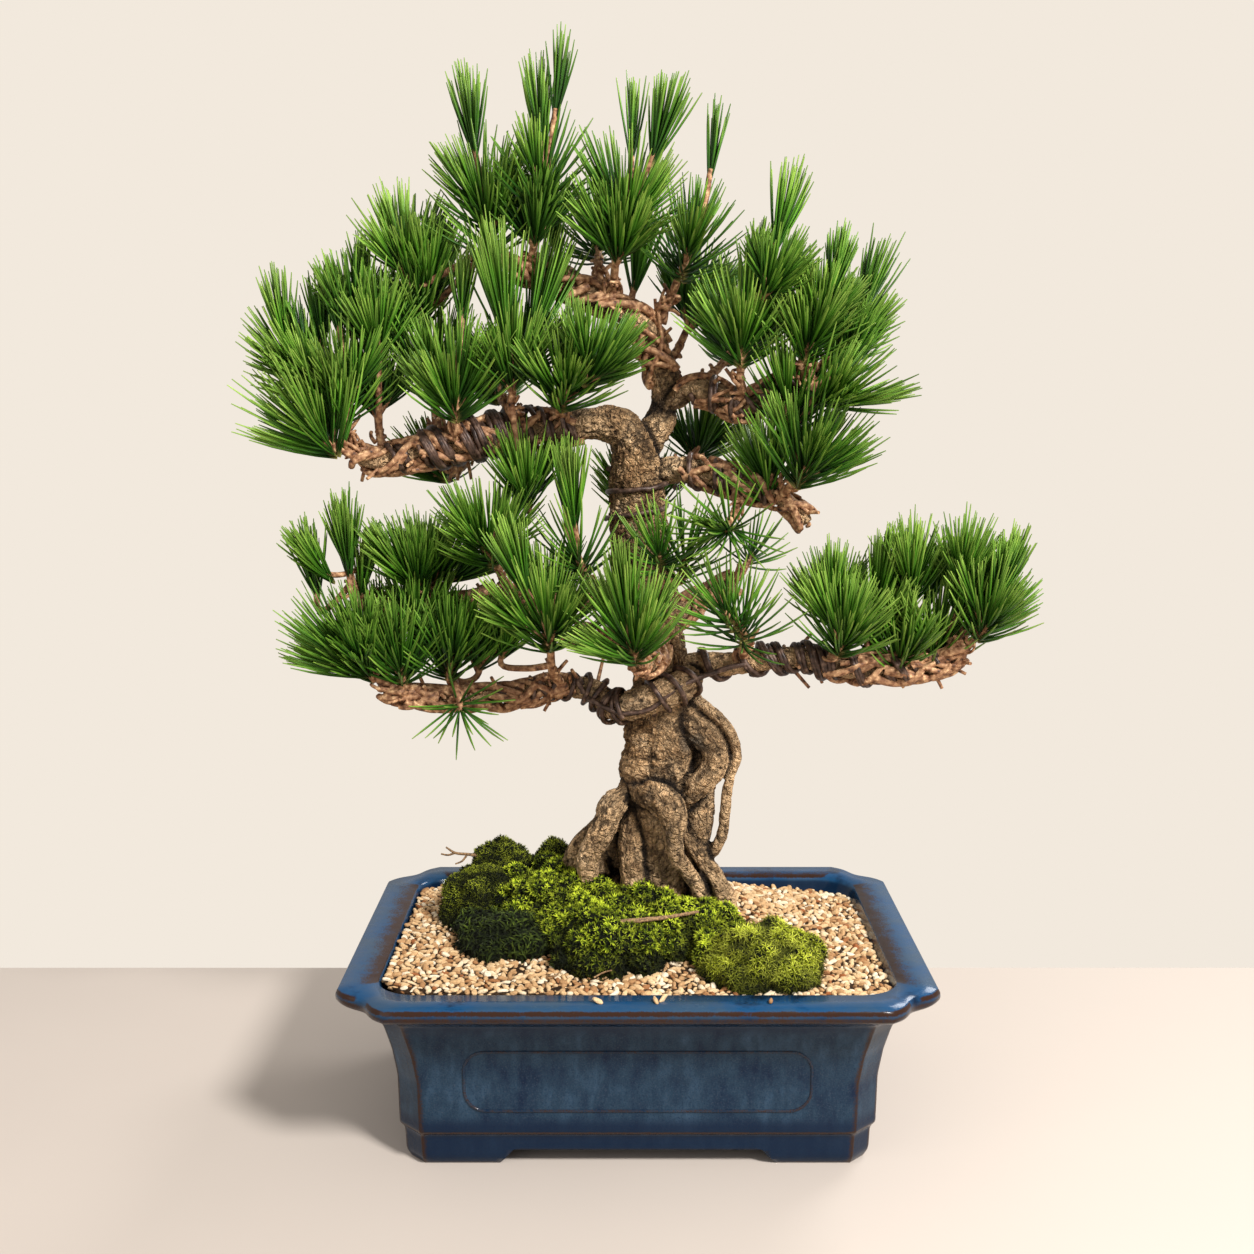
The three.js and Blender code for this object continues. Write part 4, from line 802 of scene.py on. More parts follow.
class Paint(Nodes):
    """A material's nodes, with short calls for what the finishes here share."""

    def __init__(self, name, **values):
        self.made = bpy.data.materials.new(name)
        self.made.use_nodes = True
        super().__init__(self.made.node_tree)
        self.shader = self.tree.nodes["Principled BSDF"]
        for key, value in values.items():
            label = key.replace("_", " ").title().replace("Ior", "IOR")
            self.shader.inputs[label].default_value = value
        self.place = self.out("ShaderNodeTexCoord", output="Object")

    def attribute(self, name, output="Fac"):
        return self.out("ShaderNodeAttribute", output=output, attribute_name=name)

    def ramp(self, value, *stops):
        """The colour at the value's place among (place, colour) stops."""
        node = self.add("ShaderNodeValToRGB", {0: value})
        points = node.color_ramp.elements
        while len(points) < len(stops):
            points.new(0.5)
        for point, (place, shade) in zip(points, stops):
            point.position = place
            point.color = (*tuple(shade)[:3], 1)
        return Value(self, node.outputs[0])

    def mix(self, amount, low, high, blend="MIX"):
        low, high = (shade if isinstance(shade, Value) else (*tuple(shade)[:3], 1)
                     for shade in (low, high))
        return self.out("ShaderNodeMix", {0: amount, 6: low, 7: high}, 2,
                        data_type="RGBA", blend_type=blend)

    def bright(self, shade, amount):
        """The colour made brighter or darker by a factor."""
        return self.mix(1.0, shade, self.joined(amount, amount, amount), "MULTIPLY")

    def finish(self, shade, rough, height, depth):
        """Joins the colour, the roughness and the relief to the shader."""
        bump = self.add("ShaderNodeBump", {"Height": height, "Strength": 1.0, "Distance": depth})
        for label, value in (("Base Color", shade), ("Roughness", rough), ("Normal", bump)):
            self.put(self.shader.inputs[label], value)
        return self.made


def glaze_paint(look):
    """Mottled blue glaze, pooled dark in the hollows and broken to brown at the edges."""
    paint = Paint("Blue glaze", coat_weight=0.14, coat_roughness=0.04, specular_ior_level=0.14)
    clouds = paint.noise(paint.place, 34.0, 6.0, 0.62)
    streaks = paint.noise(paint.place * (1.0, 1.0, 0.3), 150.0, 4.0, 0.6)
    specks = paint.noise(paint.place, 1300.0, 3.0, 0.65)
    tone = clouds * 0.5 + streaks * 0.5
    shade = paint.ramp(tone, (0.36, look.deep), (0.52, look.body), (0.7, look.milky))
    shade = paint.mix(paint.between(specks, 0.54, 0.72, 0.0, 0.55), shade, look.slate)
    shade = paint.mix(paint.between(specks, 0.46, 0.3, 0.0, 0.65), shade, look.deep)
    lip = paint.between(paint.parts(paint.place)[2], 0.0915, 0.0945, 0.0, 0.85)
    streaky = paint.ramp(clouds, (0.3, look.deep), (0.42, look.lip), (0.66, look.milky))
    shade = paint.mix(lip, shade, streaky)
    pool = paint.attribute("pool")
    shade = paint.mix(pool * 0.85, shade, look.deep)
    ragged = paint.attribute("edge") + paint.between(specks, 0.3, 0.7, -0.2, 0.2)
    ragged = ragged + paint.between(streaks, 0.3, 0.7, -0.15, 0.15)
    shade = paint.mix(paint.between(ragged, 0.5, 0.85), shade, look.edge)
    rough = paint.between(tone, 0.3, 0.7, 0.16, 0.3) - pool * 0.08
    return paint.finish(shade, rough, clouds + specks * 0.05, 0.0006)


def bark_paint(look):
    """Tan bark with grey patches, dark cracks between its plates, small pits and painted shade."""
    paint = Paint("Pine bark", specular_ior_level=0.25)
    grain, rugged = paint.attribute("grain", "Vector"), paint.attribute("rugged")
    broad = paint.noise(paint.place, 70.0, 4.0, 0.6)
    fine = paint.noise(grain, 800.0, 5.0, 0.7)
    shade = paint.ramp(broad * 0.6 + fine * 0.4, (0.36, look.shadow), (0.46, look.mid),
                       (0.58, look.pale), (0.7, look.grey))
    shade = paint.mix(paint.between(rugged, 0.35, 0.8, 0.6, 0.0), shade, look.pale)
    patches = paint.noise(paint.place, 48.0, 3.0)
    shade = paint.bright(shade, paint.between(patches, 0.35, 0.65, 0.72, 1.32))
    grey = paint.attribute("knot") * paint.between(fine, 0.35, 0.6, 0.4, 1.0)
    shade = paint.mix(grey, shade, look.lichen)
    place = paint.swayed(paint.place, 240.0, 3.0, 0.006)
    plates, flakes = paint.seams(place, 210.0), paint.seams(place, 480.0)
    patchy = (paint.between(broad, 0.4, 0.6, 0.5, 1.0)
              * paint.between(rugged, 0.45, 0.85, 0.12, 1.0))
    seam = paint.between(plates, 0.0, 0.09, 1.0, 0.0) * patchy
    thin = paint.between(flakes, 0.0, 0.1, 0.6, 0.0) * patchy
    wrinkles = paint.noise(grain * (0.22, 0.22, 1.0), 760.0, 3.0, 0.55)
    wrinkle = paint.between(wrinkles, 0.57, 0.64)
    shade = paint.mix(thin, shade, look.shadow)
    shade = paint.mix(seam * 0.9, shade, look.crack)
    shade = paint.mix(wrinkle * 0.6, shade, look.shadow)
    # Painted shade: the low spots of the relief, crack bottoms among them, are darkened towards the
    # crack colour.
    shade = paint.mix(paint.between(paint.attribute("deep"), 0.5, 1.0, 0.0, 0.8), shade, look.crack)
    # Painted shade: the gaps between two pieces of wood are darkened towards the crack colour.
    crease = paint.attribute("crease") + paint.between(fine, 0.3, 0.7, -0.15, 0.15)
    crease = crease + paint.between(broad, 0.35, 0.65, -0.25, 0.15)
    shade = paint.mix(paint.between(crease, 0.28, 0.82, 0.0, 0.96), shade, look.crack)
    pit = paint.between(paint.cells(paint.place, 150.0), 0.08, 0.16, 1.0, 0.0)
    shade = paint.mix(pit * 0.8, shade, look.crack)
    height = fine + paint.between(flakes, 0.0, 0.25, 0.0, 0.6)
    height = height + paint.between(plates, 0.0, 0.2, 0.0, 1.6) - (pit + wrinkle * 0.5)
    return paint.finish(shade, paint.between(fine, 0.3, 0.7, 0.7, 0.9), height, 0.0022)


def needle_paint(look):
    """Green needles: pale at the sheath, dark in the middle and lighter towards the tip."""
    paint = Paint("Pine needles", specular_ior_level=0.25)
    along, tone = paint.attribute("along"), paint.attribute("tone")
    # The inner colour is painted shade on the feet of the old needles.
    old, young = (
        paint.ramp(along, (0.0, look.sheath), *zip((0.1, 0.55, 1.0), shades))
        for shades in ((look.inner, look.dark, look.fresh), (look.dark, look.fresh, look.tip)))
    # This mix holds a random tone plus the painted light and shade of the spots.
    shade = paint.mix(paint.attribute("mood") * 0.55 + tone * 0.45, old, young)
    drift = paint.noise(paint.place, 42.0)
    shade = paint.bright(shade, paint.between(drift, 0.3, 0.7, 0.7, 1.25))
    shade = paint.bright(shade, paint.between(tone, 0.0, 1.0, 0.75, 1.2))
    rough = paint.between(tone, 0.0, 1.0, 0.36, 0.52)
    return paint.finish(shade, rough, paint.noise(paint.place, 2600.0, 1.0), 0.0001)


def moss_paint(name, dark, mid, light):
    """Moss, darker between its leaves than at their tips: painted shade, also in its hollows and at
    its foot.
    """
    paint = Paint(name, specular_ior_level=0.1, sheen_weight=0.03)
    patch = paint.noise(paint.place, 110.0, 4.0, 0.6)
    # Painted shade: the ramp starts at the shade colour, so the leaves darken towards their feet
    # and the bare cushion between them is dark.
    tone = paint.attribute("tone") * 0.45 + patch * 0.75 + paint.attribute("tipward") * 0.55
    tone = tone - 0.38 + paint.attribute("mood")
    shade = paint.ramp(tone, (0.22, dark), (0.46, mid), (0.7, light))
    # Painted shade in the hollows between the knobs and near the cushion's foot.
    shade = paint.mix(paint.attribute("hollow") * 0.9, shade, dark)
    shade = paint.mix(paint.attribute("foot") * 0.92, shade, dark)
    fine = paint.noise(paint.place, 1800.0)
    return paint.finish(shade, paint.between(fine, 0.3, 0.7, 0.6, 0.85), fine, 0.0006)


def grit_paint(look):
    """Cream and tan grains, each with its own shade and a few rusty and white ones."""
    paint = Paint("Grit", specular_ior_level=0.25)
    shade = paint.ramp(paint.attribute("tone"), (0.0, look.rusty), (0.07, look.tan),
                       (0.35, look.sand), (0.7, look.cream), (0.95, look.white))
    spots = paint.noise(paint.place, 900.0, 3.0, 0.6)
    shade = paint.bright(shade, paint.between(spots, 0.3, 0.7, 0.78, 1.15))
    return paint.finish(shade, paint.between(spots, 0.3, 0.7, 0.7, 0.92), spots, 0.0007)


def grainy_paint(name, noise, stops, rough, depth, **values):
    """A finish whose colour, roughness and relief all follow one noise."""
    paint = Paint(name, **values)
    grain = paint.noise(paint.place, *noise)
    return paint.finish(paint.ramp(grain, *stops), paint.between(grain, 0.3, 0.7, *rough),
                        grain, depth)


def shoot_paint(look):
    """The reddish brown bark and papery scales of the young shoots."""
    stops = (0.27, look.crack), (0.42, look.shoot), (0.6, look.scale), (0.74, look.pale)
    return grainy_paint("Shoot bark", (360.0, 3.0), stops, (0.5, 0.75), 0.0005,
                        specular_ior_level=0.3)


def plain_paint(name, low, high, scale, rough, depth):
    """A fine-grained finish in two close shades."""
    return grainy_paint(name, (scale, 4.0, 0.6), ((0.3, low), (0.7, high)),
                        (rough - 0.06, rough + 0.06), depth)


# -------- what a user may change


def tint(name, description, *rgb):
    return FloatVectorProperty(
        name=name, description=description, default=colour(*rgb), subtype="COLOR", min=0, max=1
    )


def length_prop(name, description, default, low=0.0, high=1.0):
    return FloatProperty(
        name=name, description=description, default=default, min=low, max=high,
        subtype="DISTANCE", unit="LENGTH",
    )


class BonsaiPotLook(PropertyGroup):
    """Colours of the glaze."""

    body: tint("Body", "Main blue of the glaze", 30, 52, 70)
    milky: tint("Milky", "Pale streaks in the glaze", 52, 76, 98)
    deep: tint("Deep", "Glaze where it has pooled", 4, 26, 50)
    lip: tint("Lip", "Brighter blue of the rim", 25, 72, 112)
    slate: tint("Slate", "Grey-blue specks", 58, 68, 82)
    edge: tint("Edge", "Clay that shows through at the edges", 50, 30, 20)
    mesh: tint("Drain mesh", "Plastic mesh over the drain holes", 34, 34, 33)


class BonsaiSoilLook(PropertyGroup):
    """Sizes and colours of the grit."""

    size: length_prop("Grain", "Mean thickness of a grain", 0.0034, 0.001, 0.01)
    spacing: length_prop("Spacing", "Least distance between grains in a layer", 0.003, 0.001, 0.02)
    cream: tint("Cream", "Pale grains", 226, 192, 146)
    sand: tint("Sand", "Most of the grains", 208, 168, 120)
    tan: tint("Tan", "Darker grains", 166, 122, 80)
    white: tint("White", "The few white grains", 240, 222, 192)
    rusty: tint("Rusty", "The few rusty grains", 150, 88, 46)
    earth: tint("Earth", "Earth in the gaps", 34, 22, 14)
    earth_light: tint("Dry earth", "Dry earth in the gaps", 78, 56, 36)


class BonsaiWoodLook(PropertyGroup):
    """Sizes and colours of the bark."""

    relief: length_prop("Relief", "Height of the bark's plates on the trunk", 0.0022, 0.0, 0.01)
    voxel: length_prop("Fineness", "Grid that the wood is welded on", 0.0009, 0.0005, 0.005)
    pale: tint("Pale", "Dry outer bark", 248, 206, 156)
    mid: tint("Middle", "Most of the bark", 188, 147, 102)
    grey: tint("Grey", "Weathered patches", 182, 168, 146)
    lichen: tint("Lichen", "The grey knot on the trunk", 150, 150, 140)
    shadow: tint("Shadow", "Darker bark", 112, 80, 50)
    # The crack colour also paints shade in the gaps between roots and in the low spots of the
    # relief.
    crack: tint("Crack", "Bottom of the cracks", 26, 16, 9)
    shoot: tint("Shoot", "Bark of young shoots", 130, 88, 60)
    scale: tint("Scale", "Papery scales on the shoots", 186, 142, 104)


class BonsaiWireLook(PropertyGroup):
    """Colours of the training wire."""

    body: tint("Body", "Anodised surface", 84, 62, 50)
    dark: tint("Dark", "Shaded or fresh wire", 38, 26, 21)
    rubbed: tint("Rubbed", "Worn and dusty spots", 140, 114, 96)
    twin_turn: FloatProperty(name="Second strand", description="Turn between the two strands",
                             default=0.9, subtype="ANGLE")


class BonsaiNeedleLook(PropertyGroup):
    """Sizes and colours of the needles."""

    width: length_prop("Width", "Width of a needle", 0.00138, 0.0003, 0.005)
    crowding: FloatProperty(
        name="Crowding", description="Share of the usual number of needles", default=1.0,
        min=0.1, max=3.0, subtype="FACTOR",
    )
    sides: IntProperty(name="Sides", description="Sides of a needle", default=3, min=3, max=8)
    bend: FloatProperty(name="Bend", description="How far the needles bend towards the stem's way",
                        default=0.06, min=-1.0, max=1.0, subtype="FACTOR")
    droop: FloatProperty(name="Droop", description="How far the needles hang, or rise below zero",
                         default=-0.1, min=-1.0, max=1.0, subtype="FACTOR")
    side_tufts: IntProperty(name="Side tufts", description="Smaller tufts round each wide one",
                            default=4, min=0, max=12)
    fresh: tint("Fresh", "Young needles", 84, 136, 30)
    dark: tint("Dark", "Old needles", 30, 76, 18)
    inner: tint("Inner", "Shaded feet of old needles", 18, 40, 8)
    tip: tint("Tip", "Tips of young needles", 148, 174, 76)
    sheath: tint("Sheath", "Foot of a needle", 150, 140, 80)


class BonsaiMossLook(PropertyGroup):
    """Colours of the mosses."""

    olive: tint("Olive", "Dense cushions", 84, 94, 22)
    olive_light: tint("Olive light", "Tips on dense cushions", 160, 168, 50)
    lime: tint("Lime", "Bright cushion at the front", 152, 162, 20)
    lime_light: tint("Lime light", "Tips on the bright cushion", 238, 244, 90)
    fresh: tint("Fresh", "Star moss", 104, 124, 16)
    fresh_light: tint("Fresh light", "Tips of the star moss", 216, 230, 62)
    deep: tint("Deep", "Dark drooping moss", 44, 58, 18)
    deep_light: tint("Deep light", "Tips of the dark moss", 92, 108, 36)
    shade: tint("Shade", "Between the leaves", 12, 16, 4)


class BonsaiStage(PropertyGroup):
    """The floor, the light and the camera."""

    floor: tint("Floor", "Plain pale floor", 203, 190, 178)
    wall: tint("Background", "Plain background", 242, 233, 221)
    key: FloatProperty(name="Key light", description="Power of the key light", default=33.0,
                       min=0.0, unit="POWER")
    ambient: FloatProperty(name="Ambient", description="Strength of the light from all sides",
                           default=0.54, min=0.0)
    lens: FloatProperty(name="Lens", description="Focal length", default=43.36, min=10,
                        subtype="DISTANCE_CAMERA")
    tilt: FloatProperty(name="Tilt", description="How far the camera looks down",
                        default=float(np.radians(9.14)), subtype="ANGLE")
    height: length_prop("Height", "The camera's height over the floor", 0.39148, 0.0, 5.0)
    distance: length_prop("Distance", "From the camera to the pot's middle", 0.79203, 0.1, 10.0)
    aside: length_prop("Aside", "How far the camera stands to the left", 0.00541, -1.0, 1.0)


# -------- the pot and its drains


def pot_ring(inset, corner, rounded=False):
    """The pot's plan at one height, anticlockwise from the middle of its right side."""
    half_x, half_y = POT_WIDTH / 2 - inset, POT_DEPTH / 2 - inset
    along, curved, round_swell = np.array(CORNER_SHAPE, float).T
    place = np.linspace(0, 1, CORNER_STEPS + 1)
    lip = np.clip((corner - LIP_CORNER_START) / (LIP_CORNER_FULL - LIP_CORNER_START), 0, 1)
    swell = np.interp(place, along, round_swell if rounded else curved * lip)
    for _ in range(3):
        softened(swell)
    swell = swell * corner * 0.5**0.5
    side = np.linspace(0, half_y - corner, SIDE_STEPS, endpoint=False)
    front = np.linspace(half_x - corner, 0, FRONT_STEPS + 1)[1:]
    quarter = np.vstack([
        np.column_stack([np.full(SIDE_STEPS, half_x), side]),
        np.column_stack([half_x - corner * place + swell, half_y - corner * (1 - place) + swell]),
        np.column_stack([front, np.full(FRONT_STEPS, half_y)]),
    ])
    back = np.vstack([quarter, quarter[-2::-1] * (-1, 1)])
    return np.vstack([back, back[-2:0:-1] * (1, -1)])


def at_height(plan, height):
    """A flat outline's points, all at one height or each at its own."""
    return np.column_stack([plan, np.broadcast_to(height, len(plan))])


def fine_rows(rows, step):
    """The rows again with a row every step or so, and with soft bends."""
    rows = np.array(rows, float)
    way = travelled(rows[:, :2])
    places = np.linspace(0, way[-1], int(way[-1] / step) + 1)
    fine = np.column_stack([np.interp(places, way, column) for column in rows.T])
    for _ in range(2):
        softened(fine)
    return fine


def inset_at(rows, height):
    """Inset and corner of a wall at a height."""
    heights, *others = zip(*sorted(rows))
    return [np.interp(height, heights, other) for other in others]


def loop_bar(points, out, radius, sides=8):
    """Points and faces of a closed bar along a loop that faces one way."""
    ways = np.roll(points, -1, axis=0) - np.roll(points, 1, axis=0)
    ways /= norm(ways, axis=1)[:, None]
    turns = full_turn(sides)[None, :, None]
    ring = radius * (np.cos(turns) * out + np.sin(turns) * np.cross(ways, out)[:, None])
    return (points[:, None] + ring).reshape(-1, 3), ring_faces(len(points), sides, closed=True)


def panel_loop(half_width):
    """The panel's rounded outline: places across and heights."""
    bottom, top, corner = (PANEL[key] for key in ("bottom", "top", "corner"))
    outline = []
    for quarter, (x, z) in enumerate([(1, 1), (-1, 1), (-1, -1), (1, -1)]):
        centre_x = x * (half_width - corner)
        centre_z = (top - corner) if z > 0 else (bottom + corner)
        turn = np.linspace(0, np.pi / 2, 10) + quarter * np.pi / 2
        outline.append(np.column_stack([
            centre_x + corner * np.cos(turn), centre_z + corner * np.sin(turn)]))
    return spaced(at_height(np.vstack([*outline, outline[0][:1]]), 0), 241)[:-1, :2]


def prism(outline, low, high, axis):
    """Points and faces of an upright block, or of a bar along X or Y, over an outline."""
    count = len(outline)
    points = [{"x": (level, a, b), "y": (-a, level, b), "z": (a, b, level)}[axis]
              for level in (low, high) for a, b in outline]
    faces = [tuple(reversed(range(count))), tuple(range(count, 2 * count))]
    for place in range(count):
        after = (place + 1) % count
        faces.append((place, after, count + after, count + place))
    return points, faces


def cut_away(obj, cutters):
    """Takes closed blocks away from the object."""
    for points, faces in cutters:
        cutter = new_object("cutter", points, faces)
        modifier = obj.modifiers.new("Cut", "BOOLEAN")
        modifier.operation, modifier.solver = "DIFFERENCE", "EXACT"
        modifier.object = cutter
        settle(obj)
        bpy.data.objects.remove(cutter)


def bumped(values, low, high, soft):
    """1 between low and high, fading to 0 over a soft stretch beyond them."""
    rise = np.clip((values - low) / soft + 1, 0, 1)
    return np.minimum(rise, np.clip((high - values) / soft + 1, 0, 1))


def pot_marks(points):
    """Where the glaze is thin on an edge, and where it has pooled."""
    x, y, z = abs(points[:, 0]), abs(points[:, 1]), points[:, 2]
    inset, corner = inset_at(POT_OUTSIDE, z)
    half_x, half_y = POT_WIDTH / 2 - inset, POT_DEPTH / 2 - inset
    depth = np.minimum(half_x - x, half_y - y)
    depth = np.minimum(depth, (half_x + half_y - corner - x - y) * 0.5**0.5)
    outside = depth < 3
    rim_inset = np.minimum(POT_WIDTH / 2 - x, POT_DEPTH / 2 - y)
    rim_inset = np.minimum(rim_inset, (POT_WIDTH / 2 + POT_DEPTH / 2 - x - y - 22) * 0.5**0.5)
    worn = bumped(z, 95.0, 97, 0.8) * bumped(rim_inset, 19.0, 20.2, 0.5)
    edges = [
        outside * bumped(z, -0.7, 0.7, 0.7), outside * bumped(z, 17.8, 19.0, 0.7),
        0.8 * outside * bumped(z, 86.5, 92.2, 1.2),
        outside * bumped(z, 93.8, 95.4, 0.7) * bumped(depth, -1, 1.0, 0.6),
        worn * np.where(points[:, 1] < -80, 0.35, 1.0),
    ]
    for end_x, end_y in ((half_x - corner, half_y), (half_x, half_y - corner)):
        away = np.hypot(x - end_x, y - end_y)
        edges.append(0.9 * outside * (z < 90) * bumped(away, 0, 0.8, 1.4))
    pools = [
        outside * bumped(z, 19.5, 23, 5), outside * bumped(z, -1, 16.5, 1.5),
        outside * 0.75 * bumped(z, 78, 87, 6), (depth > 12) * (z < 94),
    ]
    return {"edge": np.max(edges, axis=0), "pool": np.max(pools, axis=0)}


def make_pot(look):
    """The glazed pot, with its feet, drains and framed panels."""
    outer, inner = fine_rows(POT_OUTSIDE, 1.3), fine_rows(POT_INSIDE, 1.6)
    rings = [at_height(pot_ring(inset, corner, rounded), height)
             for rows, rounded in ((outer, False), (inner, True))
             for height, inset, corner in rows]
    ends = [[0, 0, outer[0, 0]], [0, 0, inner[-1, 0]]]
    pot = new_object("pot_body", np.vstack([*rings, ends]), ring_faces(len(rings), len(rings[0])))
    low, high = -1, FOOT_GAP_HEIGHT
    half_x, half_y = POT_WIDTH / 2 - FOOT_RING_INSET, POT_DEPTH / 2 - FOOT_RING_INSET
    recess = [(half_x, half_y), (-half_x, half_y), (-half_x, -half_y), (half_x, -half_y)]
    cutters = [prism(recess, low, high, "z")]
    for (wide, narrow), reach, axis in (
            (FOOT_GAP_FRONT, POT_DEPTH, "y"), (FOOT_GAP_SIDE, POT_WIDTH, "x")):
        outline = [(-wide / 2, low), (wide / 2, low), (narrow / 2, high), (-narrow / 2, high)]
        if axis == "y":
            outline = [(-a, b) for a, b in outline[::-1]]
        cutters.append(prism(outline, -reach, reach, axis))
    turns = full_turn(48)
    for x in (-DRAIN_X, DRAIN_X):
        circle = np.column_stack([x + DRAIN_RADIUS * np.cos(turns), DRAIN_RADIUS * np.sin(turns)])
        cutters.append(prism(circle, 2, POT_FLOOR + 10, "z"))
    cut_away(pot, cutters)
    add_attributes(pot.data, pot_marks(mesh_points(pot)))
    glaze = glaze_paint(look)
    dress(pot, glaze)
    put_on(pot, "glaze", "pot")
    loops = []
    for axis, half_width, span in ((1, PANEL["front"], POT_DEPTH), (0, PANEL["side"], POT_WIDTH)):
        outline = panel_loop(half_width)
        out = span / 2 - inset_at(POT_OUTSIDE, outline[:, 1])[0] - 0.1
        for side in (-1, 1):
            loop = np.insert(outline, axis, side * out, axis=1)
            loops.append(loop_bar(loop, side * np.eye(3)[axis], PANEL["line"]))
    points, faces = join_meshes(loops)
    frames = new_object("pot_panel_lines", points, faces, attributes={
        "edge": np.full(len(points), 0.62), "pool": np.zeros(len(points))})
    face_outwards(frames)
    dress(frames, glaze)
    put_on(frames, "glaze", "pot")


def bars_object(name, lines):
    """An object of edges along the lines, whose points carry their radius for bar_tree."""
    points, edges = [], []
    for line in lines:
        start = len(points)
        points += line.tolist()
        edges += [(start + k, start + k + 1) for k in range(len(line) - 1)]
    points = np.array(points)
    return new_object(name, points[:, :3], edges=edges, attributes={"thick": points[:, 3] * MM})


def make_screens(look):
    """The two squares of plastic mesh over the drain holes, as crossing bars."""
    pale = tuple(c * 1.8 for c in look.mesh)
    paint = plain_paint("Drain mesh", look.mesh, pale, 800.0, 0.5, 0.0001)
    for side in ("left", "right"):
        node = f"drain_screen_{side}"
        low, high = (np.array(corner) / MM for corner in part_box(node))
        middle, (half, _, thick) = (low + high) / 2, (high - low) / 2
        reach = half - thick * 0.6
        lines = []
        for place in np.linspace(-1, 1, 6):
            for step in (1, -1):
                lines.append(np.array([
                    [*(middle[:2] + (end, place * reach)[::step]), middle[2], thick]
                    for end in (-reach, reach)]))
        screen = bars_object(f"screen_{side}", lines)
        grow(screen, bar_tree(), sides=10, material=paint)
        put_on(screen, "mesh", node)


# -------- soil, grit and moss


def soil_height(x, y):
    """Height of the soil over the table."""
    (at_x, at_y), (reach_x, reach_y) = SOIL["at"], SOIL["reach"]
    away = ((x - at_x) / reach_x) ** 2 + ((y - at_y) / reach_y) ** 2
    fall = SOIL["right"] * x / (POT_WIDTH / 2) + SOIL["back"] * y / (POT_DEPTH / 2)
    return SOIL["level"] - fall + SOIL["mound"] * np.exp(-away)


def bare_share(x, y):
    """How open the soil is at a place: 0 under the moss, 1 where only grit lies."""
    share = np.ones(len(x))
    for clumps in [*MOSS.values(), *MOSS_BETWEEN.values()]:
        for at_x, at_y, wide, deep, _ in clumps:
            away = np.hypot((x - at_x) / wide, (y - at_y) / deep)
            share = np.minimum(share, np.clip((away - 0.78) * 6, 0, 1))
    return share


def make_soil(look):
    """The earth in the pot, as a block whose top follows the mound."""
    rings = []
    for level in np.linspace(0.02, 1, 64):
        plan = pot_ring(22.5, 20, True) * level
        rings.append(at_height(plan, soil_height(*plan.T) - EARTH_SINK))
    around = len(rings[0])
    lumpy = (len(rings) - 1) * around
    for height in (84, 70, 45, EARTH_BOTTOM):
        inset, corner = inset_at(POT_INSIDE, height)
        rings.append(at_height(pot_ring(inset + 0.5, corner, True), height))
    ends = [[0, 0, soil_height(0, 0) - EARTH_SINK], [0, 0, EARTH_BOTTOM]]
    points = np.vstack([*rings, ends])
    points[:lumpy, 2] += 0.9 * grain_at(*np.round(points[:lumpy, :2].T))
    soil = new_object("soil_bed", points, [f[::-1] for f in ring_faces(len(rings), around)])
    stops = (0.35, look.earth), (0.65, look.earth_light)
    dress(soil, grainy_paint("Earth", (500.0, 5.0, 0.7), stops, (0.85, 0.98), 0.002,
                             specular_ior_level=0.2))
    put_on(soil, "grit", "soil")


def make_grit(look):
    """Two layers of grains over the soil, and a few stray ones on the rim."""
    paint, tree = grit_paint(look), grit_tree()

    def scatter(name, points, faces, bare, **knobs):
        grit = new_object(f"grit_{name}", points, faces, attributes={"bare": bare})
        grow(grit, tree, material=paint, **knobs)
        put_on(grit, "grit", "soil")

    width, depth = POT_WIDTH / 2 - GRIT_INSET, POT_DEPTH / 2 - GRIT_INSET
    grid_x, grid_y = (part.ravel() for part in np.meshgrid(
        np.linspace(-width, width, GRIT_COLUMNS), np.linspace(-depth, depth, GRIT_LINES)))
    points = np.column_stack([grid_x, grid_y, soil_height(grid_x, grid_y)])
    inside = abs(grid_x) + abs(grid_y) < width + depth - GRIT_CORNER
    bare = bare_share(grid_x, grid_y) * inside
    cells = np.arange(GRIT_LINES * GRIT_COLUMNS).reshape(GRIT_LINES, GRIT_COLUMNS)
    first = cells[:-1, :-1].ravel()
    faces = np.column_stack([first, first + 1, first + 1 + GRIT_COLUMNS, first + GRIT_COLUMNS])
    for seed, (name, side, roundness, spread, sink) in enumerate(GRIT_LAYERS):
        kept = faces if not side else faces[np.sign(grid_x[faces].mean(axis=1) + 0.01) == side]
        used, places = np.unique(kept, return_inverse=True)
        scatter(name, points[used], places.reshape(-1, 4).tolist(), bare[used],
                spacing=look.spacing * spread, size=look.size, sink=sink * MM, seed=11 + seed,
                roundness=roundness)
    patches = [(x + a, y + b, STRAY_HEIGHT) for x, y in STRAYS
               for a, b in ((-1, -1), (1, -1), (1, 1), (-1, 1))]
    cells = np.arange(len(patches)).reshape(-1, 4).tolist()
    scatter("strays", patches, cells, np.ones(len(patches)), spacing=0.003, size=look.size * 0.9,
            sink=0.0, seed=5, roundness=3)


